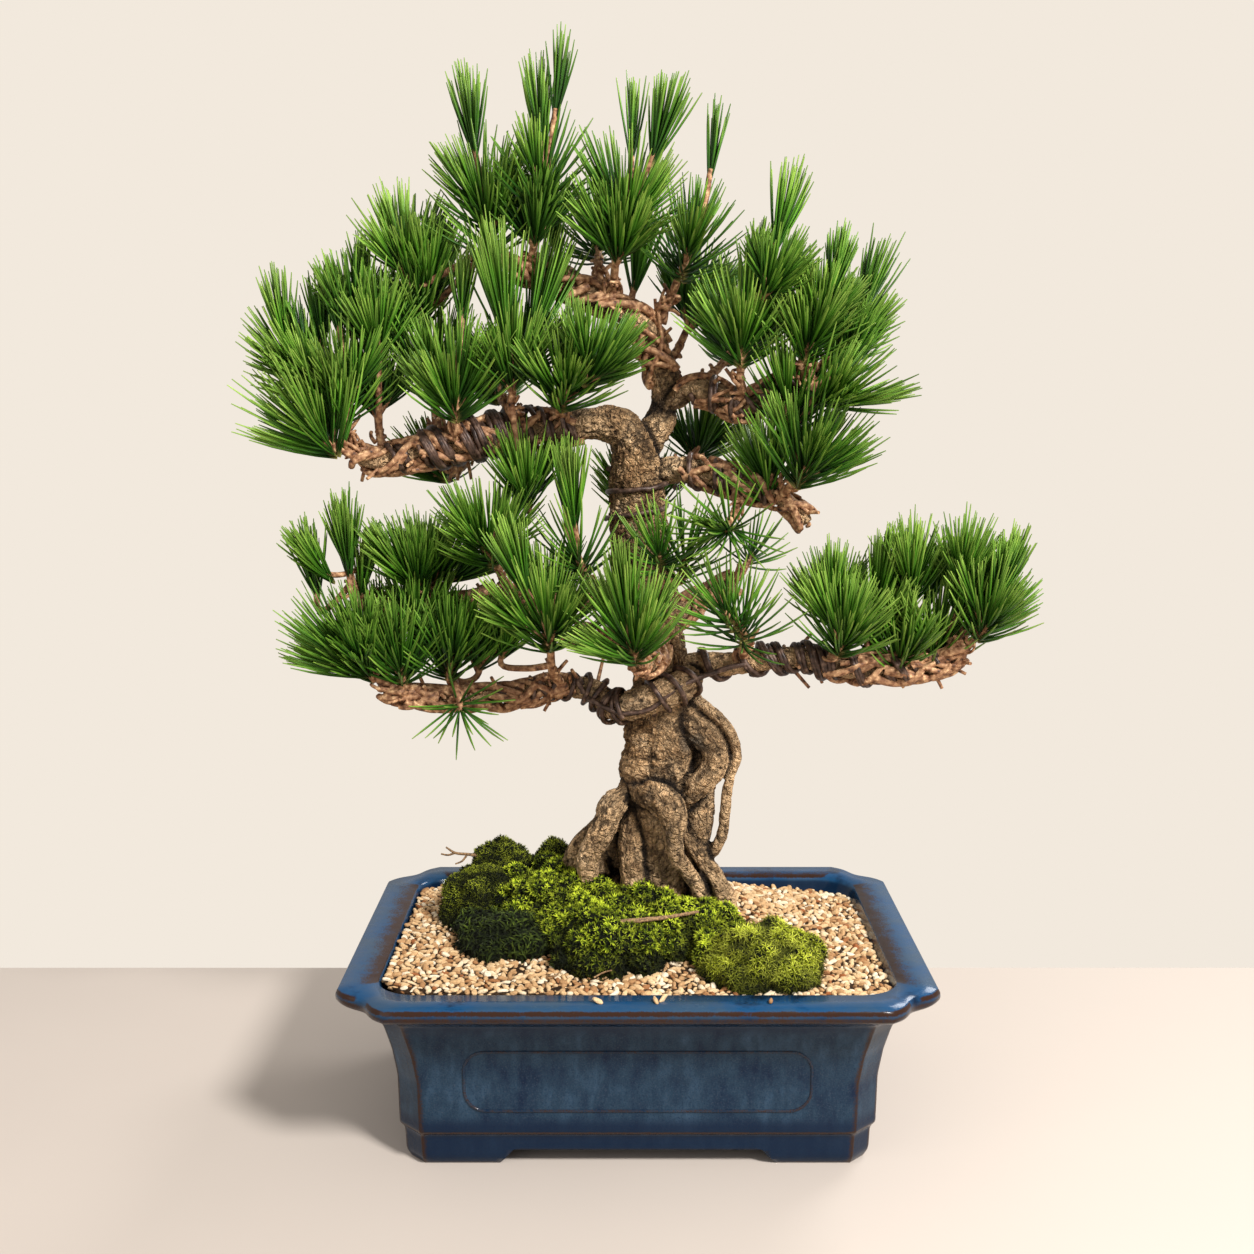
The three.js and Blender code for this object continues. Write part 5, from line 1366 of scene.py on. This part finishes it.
def dome(clump):
    """Points and faces of a lumpy cushion that stands on the soil."""
    x, y, half_width, half_depth, height = clump
    turns, foot = full_turn(60), soil_height(x, y) + 2
    rings = []
    for level in np.linspace(0.06, 1, 28):
        tilt = level * np.pi * 0.62
        u, v, w = np.cos(turns) * np.sin(tilt), np.sin(turns) * np.sin(tilt), np.cos(tilt)
        lump = 1 + 0.09 * np.sin(5 * u + 3 * w + x) * np.cos(4 * v - y)
        lump += 0.05 * np.sin(11 * u + x) * np.sin(13 * v + y + 5 * w)
        rings.append(np.column_stack([x + u * half_width * lump, y + v * half_depth * lump,
                                      foot + w * height * 1.1 * lump]))
    top = [x, y, foot + height * 1.1 * (1 + 0.09 * np.sin(3 + x) * np.cos(-y))]
    points = np.vstack([*rings, [top, rings[-1].mean(axis=0)]])
    return points, [face[::-1] for face in ring_faces(len(rings), len(turns))]


def foot_shade_of(points, clump):
    """How near each point of a cushion is to its foot, for painted shade: 1 on the soil, 0 over its
    upper half.
    """
    bottom = soil_height(clump[0], clump[1])
    return np.clip(1.15 - (points[:, 2] - bottom) / (clump[4] * 0.62), 0, 1)


def leaf_object(name, blades, sections):
    """A small leafy shape: each blade is (lean, turn, length, width, curl), all in radians and
    millimetres. Its points carry how far they are towards the tip."""
    points, faces, tips = [], [], []
    for lean, turn, length, width, curl in blades:
        start, place = len(points), np.zeros(3)
        out = np.array([np.cos(turn), np.sin(turn), 0])
        across = np.array([-np.sin(turn), np.cos(turn), 0])
        for section in range(sections + 1):
            share = section / sections
            tilt = lean + curl * share
            if section:
                place = place + length / sections * (np.sin(tilt) * out + [0, 0, np.cos(tilt)])
            half = width / 2 * (1 - share**1.6) + 0.03
            points += [place - across * half, place + across * half]
            tips += [share, share]
        faces += [(low, low + 1, low + 3, low + 2)
                  for low in range(start, start + 2 * sections, 2)]
    return new_object(name, points, faces, attributes={"tipward": tips})


def make_moss(look):
    """The five clumps of moss: dense cushions covered with the leaves of each kind."""
    leaves = {name: leaf_object(name, [blade(k) for k in range(number)], sections)
              for name, (number, sections, blade) in LEAVES.items()}
    tree = cover_tree()
    for seed, (name, (leaf, slot, spacing, size, knob)) in enumerate(MOSS_KINDS.items()):
        hue = slot.removeprefix("moss_")
        paint = moss_paint(name.replace("_", " ").capitalize(), look.shade,
                           getattr(look, hue), getattr(look, f"{hue}_light"))
        # The lower moss between the clumps is painted darker: painted shade between the cushions.
        for part, clumps, painted_shade in (("leaves", MOSS[name], 0),
                                    ("low_leaves", MOSS_BETWEEN.get(name), 0.06)):
            if not clumps:
                continue
            domes = [dome(clump) for clump in clumps]
            points, faces = join_meshes(domes)
            # Each cushion's foot is marked for painted shade.
            foot = np.concatenate([foot_shade_of(p, clump) for (p, _), clump in zip(domes, clumps)])
            mood = [MOSS_MOOD[number % len(MOSS_MOOD)] for number in range(len(clumps))]
            mood = np.repeat(mood, [len(p) for p, _ in domes]) - painted_shade
            clump = new_object(f"{name}_{part}", points, faces, attributes={
                "tipward": np.zeros(len(points)), "foot": foot, "mood": mood})
            grow(clump, tree, leaf=leaves[leaf], spacing=spacing, size=size, lean=0.35, knob=knob,
                 seed=20 + seed, material=paint)
            put_on(clump, slot, name)
    for obj in leaves.values():
        bpy.data.objects.remove(obj)


def make_stick(look):
    """The dry stick that bridges the moss, and the litter."""
    rows = smooth_line(STICK, 10)
    rows[:, 3] *= 1 + 0.12 * grain_at(np.arange(len(rows)), 3)
    stick = new_object("stick", *tube(rows, 12))
    face_outwards(stick)
    paint = plain_paint("Dry stick", look.crack, look.mid, 900.0, 0.8, 0.0004)
    dress(stick, paint)
    put_on(stick, "dry_stick", "fallen_stick")
    bits = bars_object("litter", [smooth_line(rows, 6) for rows in LITTER])
    grow(bits, bar_tree(), sides=7, material=paint)
    put_on(bits, "dry_stick", "fallen_stick")


# -------- wood and wires


def limb_line(rows):
    """A limb's smooth centre line, with a row about every 2.5 mm."""
    line = smooth_line(rows)
    return spaced(line, max(24, int(travelled(line)[-1] / 2.5)))


def twig_rows(stem, line):
    """The woody twig below a shoot, from the limb to the shoot's foot."""
    foot, ahead = (np.array(p, float) for p in stem[:2])
    growth = unit(ahead - foot)
    even = spaced(line, 241)
    away = norm(even[:, :3] - foot, axis=1)
    share = max(away.argmin() / 240 - 0.35 * away.min() / travelled(line)[-1], 0.02)
    root = even[int(round(share * 240)), :3]
    bend = foot - growth * 0.4 * norm(root - foot)
    end = foot - growth * 0.5
    t = np.linspace(0, 1, 13)[:, None]
    points = (1 - t) ** 2 * root + 2 * t * (1 - t) * bend + t**2 * end
    return np.hstack([points, TWIG_RADII[0] + (TWIG_RADII[1] - TWIG_RADII[0]) * t])


def all_lines():
    """The smooth centre lines of the limbs, the roots and the twigs."""
    limbs, roots = ({name: limb_line(rows) for name, rows in table.items()}
                    for table in (LIMBS, ROOTS))
    for name, line in roots.items():
        line[:, 3] += 0 if name == "arch" else ROOT_SWELL
    share = np.linspace(-0.9, 0.9, 7)
    for number, (x, y, z, radius) in enumerate(BURLS):
        roots[f"burl_{number}"] = np.column_stack([
            np.full(7, x), np.full(7, y), z + radius * share, radius * np.sqrt(1 - share**2)])
    twigs = {name: twig_rows(stem, limbs[limb])
             for name, ([(limb,)], stem, *_) in SHOOTS.items()}
    return limbs, roots, twigs


def creases(points, lines):
    """How close each point of the skin is to a second piece of wood: 1 in the gap between two."""
    gaps = np.full((2, len(points)), 1e3)
    squares = (points**2).sum(axis=1)
    for line in lines:
        centres, radii = line[:, :3], line[:, 3]
        away = squares[:, None] + (centres**2).sum(axis=1) - 2 * points @ centres.T
        gap = (np.sqrt(np.maximum(away, 0)) - radii).min(axis=1)
        gaps = np.sort(np.vstack([gaps, gap]), axis=0)[:2]
    return np.clip(1 - (gaps[1] - gaps[0]) / 3.5, 0, 1)


def bark_marks(points, lines):
    """Each point's place across and along the nearest wood, and how rugged its bark is."""
    centres = np.vstack([line[:, :3] for line in lines])
    radii = np.concatenate([line[:, 3] for line in lines])
    _, sides, others = map(np.vstack, zip(*(frames_along(line[:, :3]) for line in lines)))
    ways = np.concatenate([travelled(line) + 37 * number for number, line in enumerate(lines)])
    tree = KDTree(len(centres))
    for number, centre in enumerate(centres):
        tree.insert(centre, number)
    tree.balance()
    nearest = np.array([tree.find(point)[1] for point in points])
    offset = points - centres[nearest]
    grain = np.column_stack([
        (offset * sides[nearest]).sum(axis=1), (offset * others[nearest]).sum(axis=1),
        ways[nearest] * 0.7,
    ])
    return grain * MM, np.clip(radii[nearest] / 14, 0.16, 1.0)


def weld_wood(name, lines, bulges, look, paint):
    """Bars along the lines and the bulges on them, welded into one skin, with bark relief."""
    bars = list(lines)
    for rows in bulges:
        bar = smooth_line(rows, 8)
        bar[:, 3] *= 1 + 0.05 * grain_at(np.arange(len(bar)), rows[0][0])
        bars.append(bar)
    wood = new_object(name, *join_meshes([tube(bar, 16) for bar in bars]))
    face_outwards(wood)
    weld = wood.modifiers.new("Weld", "REMESH")
    weld.mode, weld.voxel_size = "VOXEL", look.voxel
    soften = wood.modifiers.new("Soften", "SMOOTH")
    soften.factor, soften.iterations = 0.5, 4
    settle(wood)
    points = mesh_points(wood)
    grain, rugged = bark_marks(points, lines)
    away = norm((points - GREY_KNOT[:3]) * (1, 0.6, 0.8), axis=1)
    # The gaps between pieces of wood are dented in bark_tree and get painted shade in bark_paint.
    add_attributes(wood.data, {
        "grain": grain, "rugged": rugged, "crease": creases(points, lines),
        "knot": np.clip(1.4 - away / GREY_KNOT[3], 0, 1)})
    grow(wood, bark_tree(), depth=look.relief, material=paint)
    put_on(wood, "bark", "tree_wood")


def make_root_ball(paint):
    """The hidden mass of roots below the soil."""
    turns = full_turn(32)
    (x, y), (wide, narrow) = ROOT_BALL["at"], ROOT_BALL["radii"]
    rings = []
    for share in np.linspace(0, 1, 7):
        radius = narrow + (wide - narrow) * share
        height = ROOT_BALL["bottom"] + (ROOT_BALL["top"] - ROOT_BALL["bottom"]) * share
        rings.append(at_height(np.column_stack([
            x + radius * np.cos(turns), y + radius * ROOT_BALL["squash"] * np.sin(turns)]), height))
    points = np.vstack([*rings, rings[0].mean(axis=0)[None], rings[-1].mean(axis=0)[None]])
    # The hidden root ball gets a little of the same painted shade.
    ball = new_object("root_ball", points, ring_faces(len(rings), len(turns)), attributes={
        "grain": points * MM, "deep": np.full(len(points), 0.6)})
    dress(ball, paint)
    put_on(ball, "bark", "tree_wood")


def make_wood(look):
    """Trunk and roots, branches, and the twigs that carry the shoots."""
    limbs, roots, twigs = all_lines()
    paint = bark_paint(look)
    trunk = limbs["trunk"]
    thick = [trunk[:int(len(trunk) * TRUNK_SHARE)], *roots.values()]
    thin = [trunk[int(len(trunk) * (TRUNK_SHARE - 0.04)):]]
    thin += [line for name, line in limbs.items() if name != "trunk"]
    weld_wood("trunk_and_roots", thick, BULGES, look, paint)
    weld_wood("branches", thin, LIMB_BULGES, look, paint)
    make_root_ball(paint)
    make_twigs(look, twigs, limbs)


def stub_lines(lines, chooser, spacing, reach):
    """Short curly stubs of old shoots along the outer ends of the lines."""
    made = []
    share = np.linspace(0, 1, 6)[:, None]
    for line in lines:
        way = travelled(line)
        ways, sides, others = frames_along(line[:, :3])
        place = way[-1] * 0.35
        while place < way[-1]:
            row = int(np.searchsorted(way, place))
            turn = chooser.uniform(0, 2 * np.pi)
            out = np.cos(turn) * sides[row] + np.sin(turn) * others[row]
            out = unit(out + 0.5 * ways[row] + [0, 0, 0.25])
            curl = chooser.normal(0, 0.35, 3)
            length = chooser.uniform(*reach)
            foot = line[row, :3] + out * line[row, 3] * 0.5
            points = foot + out * length * share + curl * length * share**2
            made.append(np.hstack([points, 1.25 - 0.35 * share]))
            place += spacing * chooser.uniform(0.5, 1.6)
    return made


def curls(line, chooser, start, number, reach, thick):
    """Thick woody curls that lie round a limb: short winding arcs close to its bark."""
    way = travelled(line)
    _, sides, others = frames_along(line[:, :3])
    share = np.linspace(0, 1, 14)
    made = []
    for _ in range(number):
        place = way[-1] * chooser.uniform(start, 0.98)
        length = chooser.uniform(*reach)
        turn = chooser.uniform(0, 2 * np.pi)
        winding = chooser.choice((-1, 1)) * chooser.uniform(0.6, 2.6)
        lift = chooser.uniform(0.0, 1.8)
        radius = chooser.uniform(*thick)
        along = np.clip(place + length * (share - 0.5), 0, way[-1])
        row = np.clip(np.searchsorted(way, along), 0, len(way) - 1)
        centre = np.column_stack([np.interp(along, way, line[:, axis]) for axis in range(3)])
        away = line[row, 3] + radius * 0.6 + lift * np.sin(np.pi * share) + 1.6 * share**2
        angle = (turn + winding * share)[:, None]
        out = np.cos(angle) * sides[row] + np.sin(angle) * others[row]
        made.append(np.column_stack([centre + away[:, None] * out, radius * (1 - 0.35 * share)]))
    return made


def make_twigs(look, twigs, limbs):
    """Twigs, the stubs of old shoots and the curls of old wood."""
    chooser = np.random.default_rng(8)
    lines = []
    for line in twigs.values():
        line = spaced(line, 24)
        line[:, 3] *= 1 + 0.14 * grain_at(np.arange(24), line[0, 0])
        lines.append(line)
    outer = {name: line for name, line in limbs.items() if name != "trunk"}
    outer["trunk"] = limbs["trunk"][int(len(limbs["trunk"]) * TRUNK_SHARE):]
    lines += stub_lines(outer.values(), chooser, 4.5, (5, 12))
    lines += stub_lines(twigs.values(), chooser, 4.0, (4, 9))
    for name, line in outer.items():
        number = int(travelled(line)[-1] * 0.3)
        lines += curls(line, chooser, CURLS_FROM.get(name, 0.3), number, (12, 32), (1.3, 2.7))
    for name, line in twigs.items():
        lines += curls(line, chooser, 0.0, 3, (6, 12), (0.8, 1.4))
        if name.startswith("crown"):
            lines += curls(line, chooser, 0.0, 7, (9, 17), (1.0, 1.7))
    twig = bars_object("twigs", lines)
    grow(twig, bar_tree(), sides=8, material=shoot_paint(look))
    put_on(twig, "bark", "tree_wood")


def bark_skin(names):
    """The finished bark of the named objects, in millimetres, for laying wires on."""
    points, faces = [], []
    for name in names:
        obj, start = bpy.data.objects[name], len(points)
        points += mesh_points(obj).tolist()
        faces += [[start + k for k in polygon.vertices] for polygon in obj.data.polygons]
    return BVHTree.FromPolygons(points, faces)


def lying_on(skin, centre, out, radius):
    """How far from the limb's middle a wire lies that touches its bark on this side."""
    reach = radius + 4.0
    _, _, _, way = skin.ray_cast(Vector(centre + out * reach), Vector(-out), reach)
    if way is None:
        return radius
    return float(np.clip(reach - way + WIRE_RADIUS, radius - 4.5, radius + 2.5))


def coil_rows(skin, name, start, stop, turns, turned=0.0, raised=0.0):
    """A wire wound round a limb, turned by an angle from where its route in the frame starts."""
    line = spaced(smooth_line(LIMBS[name], 24), 481)
    _, sides, others = frames_along(line[:, :3])
    count = int(turns * WIRE_STEPS)
    angle = (np.arange(count + 1) / WIRE_STEPS * 2 * np.pi + turned)[:, None]
    row = np.round((start + (stop - start) * np.arange(count + 1) / count) * 480).astype(int)
    outs = np.cos(angle) * sides[row] + np.sin(angle) * others[row]
    radii = [lying_on(skin, line[k, :3], out, line[k, 3] + WIRE_LIFT + WIRE_RADIUS)
             for k, out in zip(row, outs)]
    radii = np.convolve(np.pad(radii, 3, mode="edge"), np.ones(7) / 7, "valid") + raised
    points = line[row, :3] + radii[:, None] * outs
    return np.column_stack([points, np.full(len(points), WIRE_RADIUS)])


def make_wires(look):
    """The training wires, each with all its strands as bars along their winding ways."""
    stops = (0.35, look.dark), (0.55, look.body), (0.75, look.rubbed)
    paint = grainy_paint("Training wire", (300.0, 4.0, 0.6), stops, (0.36, 0.6), 0.0003,
                         metallic=0.35)
    skin = bark_skin(("trunk_and_roots", "branches"))
    left, right = (coil_rows(skin, *coil) for coil in LOWER_PAIR)
    middle = [[*point, WIRE_RADIUS] for point in CROSSING]
    bridge = smooth_line([left[-3], left[-1], *middle, right[0], right[2]], 10)[10:-10]
    tree = bar_tree()
    for name, coil in {**COILS, "wire_lower_pair": LOWER_PAIR[1]}.items():
        strands = [coil_rows(skin, *coil) if name in COILS
                   else np.vstack([left[:-1], bridge, right[1:]])]
        if name != "wire_trunk_bend":
            strands.append(coil_rows(skin, *coil, turned=look.twin_turn))
        strands += [coil_rows(skin, *knot) for knot in KNOTS.get(name, [])]
        wire = bars_object(name.replace("wire", "coil"), strands)
        grow(wire, tree, sides=10, material=paint)
        put_on(wire, "training_wire", name)


# -------- shoots and needles


def shoot_lines(stem, sides):
    """The stems of a shoot: the main one first, then its sides."""
    stem = np.array(stem, float)
    lines = [smooth_or_straight(np.column_stack([stem, np.linspace(*SHOOT_RADII, len(stem))]))]
    for start, *end in sides:
        foot, tip = stem[int(start)], np.array(end)
        if start == 0:
            foot = foot + (stem[1] - foot) * 0.35
        middle = (foot + tip) / 2 + (0, 0, -0.05 * norm(tip - foot))
        line = np.column_stack([[foot, middle, tip], [SHOOT_RADII[1]] * 3])
        lines.append(smooth_or_straight(line))
    return lines


def smooth_or_straight(line):
    return smooth_line(line, 6) if len(line) > 2 else spaced(line, 5)


def tuft_rows(stem, sides, tufts):
    """Every tuft of a shoot: place, growth direction, kind and needle length."""
    stem = np.array(stem, float)
    rows = []
    for number, kind, *own in tufts:
        number = int(number)
        if number < len(stem):
            place, foot = stem[number], stem[number - 1]
        else:
            start, *end = sides[number - len(stem)]
            place, foot = np.array(end), stem[int(start)]
        growth = unit(unit(place - foot) + (0, 0, TUFT_LIFT))
        rows.append((place, growth, kind, own[0] if own else TUFTS[kind][2]))
    return rows


def side_tufts(rows, chooser, number):
    """Smaller tufts round the main ones, which fill the shoot out, each with its short stem."""
    tufts, stems = [], []
    for place, growth, kind, reach in rows:
        wanted = {"rosette": number, "fan": number, "open": number // 2}.get(kind, 0)
        first = chooser.uniform(0, 2 * np.pi)
        side = unit(np.cross(growth, (0.3, 0.9, 0.2)))
        other = np.cross(growth, side)
        for step in range(wanted):
            turn = first + step * 2 * np.pi / wanted
            out = np.cos(turn) * side + np.sin(turn) * other
            foot = place - growth * chooser.uniform(6, 12)
            way = 0.55 * growth + 0.85 * out + np.array([0, 0, 0.6])
            way = unit(way + chooser.normal(0, 0.16, 3))
            tip = foot + way * chooser.uniform(9, 19)
            tufts.append((tip, way, "brush", min(reach, 36) * chooser.uniform(0.72, 1.0)))
            stems.append(spaced(np.array([[*foot, 1.5], [*tip, 1.2]]), 4))
    return tufts, stems


def painted_light_at(x, y, z):
    """How much painted light the needles get here; below zero it is painted shade."""
    return sum(amount * np.exp(-((x - spot_x) ** 2 + (z - spot_z) ** 2) / reach**2)
               for spot_x, spot_z, reach, amount in LIT_AND_SHADED_SPOTS)


def needle_values(rows, chooser, crowding):
    """What needle_tree reads at each tuft."""
    found = []
    for place, growth, kind, reach in rows:
        lean, count, usual, whorl = TUFTS[kind]
        found.append({
            "growth": growth, "count": count * crowding * (0.6 + 0.4 * reach / usual),
            "lean": np.radians(lean), "reach": reach * MM, "whorl": whorl * MM,
            # A random tone, plus the painted light and shade of the spots.
            "mood": chooser.uniform(0, 1) + painted_light_at(*place),
            "lowest": LOWEST.get(kind, 0.14)})
    return {key: [values[key] for values in found] for key in found[0]}


def make_needles(look, wood):
    """A piece per shoot: its stems and all its needles."""
    paint, bark = needle_paint(look), shoot_paint(wood)
    needles, bars = needle_tree(), bar_tree()
    chooser = np.random.default_rng(31)
    feet = np.array([stem[0] for _, stem, *_ in SHOOTS.values()])
    owners = [norm(feet - row[:3], axis=1).argmin() for row in EXTRA_TUFTS]
    for seed, (name, (_, stem, sides, tufts)) in enumerate(SHOOTS.items()):
        rows = tuft_rows(stem, sides, tufts)
        more, twiglets = side_tufts(rows, chooser, look.side_tufts)
        for row in (row for row, owner in zip(EXTRA_TUFTS, owners) if owner == seed):
            place, growth = np.array(row[:3]), unit(np.array(row[3:6]))
            own = [(place, growth, *row[6:])]
            extra, small = side_tufts(own, chooser, look.side_tufts - 2)
            more += own + extra
            low = place - growth * 14
            twiglets += small + [smooth_line([
                [*feet[seed], 1.9], [*((feet[seed] + low) / 2 - (0, 0, 2)), 1.8], [*low, 1.7],
                [*place, 1.4]], 5)]
        rows += more
        stems = bars_object("stems", shoot_lines(stem, sides) + twiglets)
        grow(stems, bars, sides=8, material=bark)
        spray = new_object(f"needles_{name}", [place for place, *_ in rows],
                           attributes=needle_values(rows, chooser, look.crowding))
        grow(spray, needles, width=look.width, bend=look.bend, droop=look.droop,
             seed=100 + 7 * seed, sides=look.sides, material=paint)
        join_into(spray, stems)
        put_on(spray, "needles", f"spray_{name}")


def join_into(keeper, other):
    """Adds another object's mesh to the keeper's, and removes the other."""
    both = [keeper, other]
    with bpy.context.temp_override(active_object=keeper, object=keeper, selected_objects=both,
                                   selected_editable_objects=both):
        bpy.ops.object.join()


# -------- floor, light and camera


def make_stage(stage):
    """A pale floor that ends behind the pot, a plain background, soft light and the camera."""
    scene = bpy.context.scene
    corners = [(-4000, -4000, 0), (4000, -4000, 0), (4000, FLOOR_END, 0), (-4000, FLOOR_END, 0)]
    floor = new_object("floor", corners, [(0, 1, 2, 3)])
    darker = tuple(c * 0.97 for c in stage.floor)
    floor.data.materials.append(plain_paint("Floor", darker, stage.floor, 3.0, 0.75, 0.0))

    scene.view_settings.view_transform = "Standard"
    scene.world = world = bpy.data.worlds.new("Background")
    world.use_nodes = True
    nodes, made = Nodes(world.node_tree), world.node_tree.nodes
    plain = made["Background"]
    plain.inputs["Color"].default_value = (*stage.wall[:], 1)
    ambient = nodes.add("ShaderNodeBackground", {0: (1.0, 0.97, 0.94, 1), 1: stage.ambient})
    seen = nodes.out("ShaderNodeLightPath", output="Is Camera Ray")
    both = nodes.add("ShaderNodeMixShader", {0: seen, 1: ambient, 2: plain})
    nodes.put(made["World Output"].inputs["Surface"], both)

    for name, place, height, size, power in LIGHTS:
        lamp = bpy.data.lights.new(name, "AREA")
        lamp.shape, lamp.size, lamp.energy = "DISK", size, stage.key * power
        obj = bpy.data.objects.new(name, lamp)
        obj.location = place
        aim = Vector((0.0, 0.0, height)) - Vector(place)
        obj.rotation_euler = aim.to_track_quat("-Z", "Y").to_euler()
        scene.collection.objects.link(obj)

    camera = bpy.data.cameras.new("camera")
    camera.lens, camera.sensor_width = stage.lens, 36
    eye = bpy.data.objects.new("camera", camera)
    eye.location = (-stage.aside, -stage.distance, stage.height)
    eye.rotation_euler = (np.pi / 2 - stage.tilt, 0, 0)
    scene.collection.objects.link(eye)
    scene.camera = eye


# -------- operators


class BONSAI_OT_stage(Operator):
    """Makes the floor, the lights and the camera"""

    bl_idname = "bonsai.stage"
    bl_label = "Floor, light and camera"

    def execute(self, context):
        make_stage(context.scene.bonsai_stage)
        return {"FINISHED"}


class BONSAI_OT_pot(Operator):
    """Makes the glazed pot with its framed panels"""

    bl_idname = "bonsai.pot"
    bl_label = "Pot"

    def execute(self, context):
        make_pot(context.scene.bonsai_pot)
        return {"FINISHED"}


class BONSAI_OT_screens(Operator):
    """Makes the mesh over the drain holes"""

    bl_idname = "bonsai.screens"
    bl_label = "Drain mesh"

    def execute(self, context):
        make_screens(context.scene.bonsai_pot)
        return {"FINISHED"}


class BONSAI_OT_soil(Operator):
    """Makes the earth and scatters the grit over it"""

    bl_idname = "bonsai.soil"
    bl_label = "Soil and grit"

    def execute(self, context):
        make_soil(context.scene.bonsai_soil)
        make_grit(context.scene.bonsai_soil)
        return {"FINISHED"}


class BONSAI_OT_wood(Operator):
    """Makes the trunk, the roots, the branches and the twigs with their bark"""

    bl_idname = "bonsai.wood"
    bl_label = "Wood"

    def execute(self, context):
        make_wood(context.scene.bonsai_wood)
        return {"FINISHED"}


class BONSAI_OT_wires(Operator):
    """Winds the training wires round the branches"""

    bl_idname = "bonsai.wires"
    bl_label = "Training wires"

    def execute(self, context):
        make_wires(context.scene.bonsai_wire)
        return {"FINISHED"}


class BONSAI_OT_moss(Operator):
    """Makes the cushions of moss and the stick on them"""

    bl_idname = "bonsai.moss"
    bl_label = "Moss"

    def execute(self, context):
        make_moss(context.scene.bonsai_moss)
        make_stick(context.scene.bonsai_wood)
        return {"FINISHED"}


class BONSAI_OT_needles(Operator):
    """Grows the needles on every shoot"""

    bl_idname = "bonsai.needles"
    bl_label = "Needles"

    def execute(self, context):
        make_needles(context.scene.bonsai_needles, context.scene.bonsai_wood)
        return {"FINISHED"}


class BONSAI_PT_pine(Panel):
    """Everything that the potted pine is made from"""

    bl_idname = "BONSAI_PT_pine"
    bl_label = "Potted bonsai pine"
    bl_space_type = "VIEW_3D"
    bl_region_type = "UI"
    bl_category = "Bonsai"

    def draw(self, context):
        for operator, settings in STEPS:
            box = self.layout.box()
            box.operator(operator.bl_idname)
            group = getattr(context.scene, settings)
            for key in group.bl_rna.properties.keys():
                if key not in ("rna_type", "name"):
                    box.prop(group, key)


# Each step with the settings that it reads, in the order in which they run.
STEPS = (
    (BONSAI_OT_stage, "bonsai_stage"),
    (BONSAI_OT_pot, "bonsai_pot"),
    (BONSAI_OT_screens, "bonsai_pot"),
    (BONSAI_OT_soil, "bonsai_soil"),
    (BONSAI_OT_wood, "bonsai_wood"),
    (BONSAI_OT_wires, "bonsai_wire"),
    (BONSAI_OT_moss, "bonsai_moss"),
    (BONSAI_OT_needles, "bonsai_needles"),
)
SETTINGS = {
    "bonsai_stage": BonsaiStage, "bonsai_pot": BonsaiPotLook, "bonsai_soil": BonsaiSoilLook,
    "bonsai_wood": BonsaiWoodLook, "bonsai_wire": BonsaiWireLook, "bonsai_moss": BonsaiMossLook,
    "bonsai_needles": BonsaiNeedleLook,
}


def register():
    for group in SETTINGS.values():
        bpy.utils.register_class(group)
    for operator, _ in STEPS:
        bpy.utils.register_class(operator)
    bpy.utils.register_class(BONSAI_PT_pine)
    for name, group in SETTINGS.items():
        setattr(bpy.types.Scene, name, PointerProperty(type=group))


def unregister():
    for name in SETTINGS:
        delattr(bpy.types.Scene, name)
    bpy.utils.unregister_class(BONSAI_PT_pine)
    for operator, _ in reversed(STEPS):
        bpy.utils.unregister_class(operator)
    for group in reversed(SETTINGS.values()):
        bpy.utils.unregister_class(group)


def main():
    """Makes the whole scene."""
    register()
    for operator, _ in STEPS:
        family, name = operator.bl_idname.split(".")
        getattr(getattr(bpy.ops, family), name)()


if __name__ == "__main__":
    main()
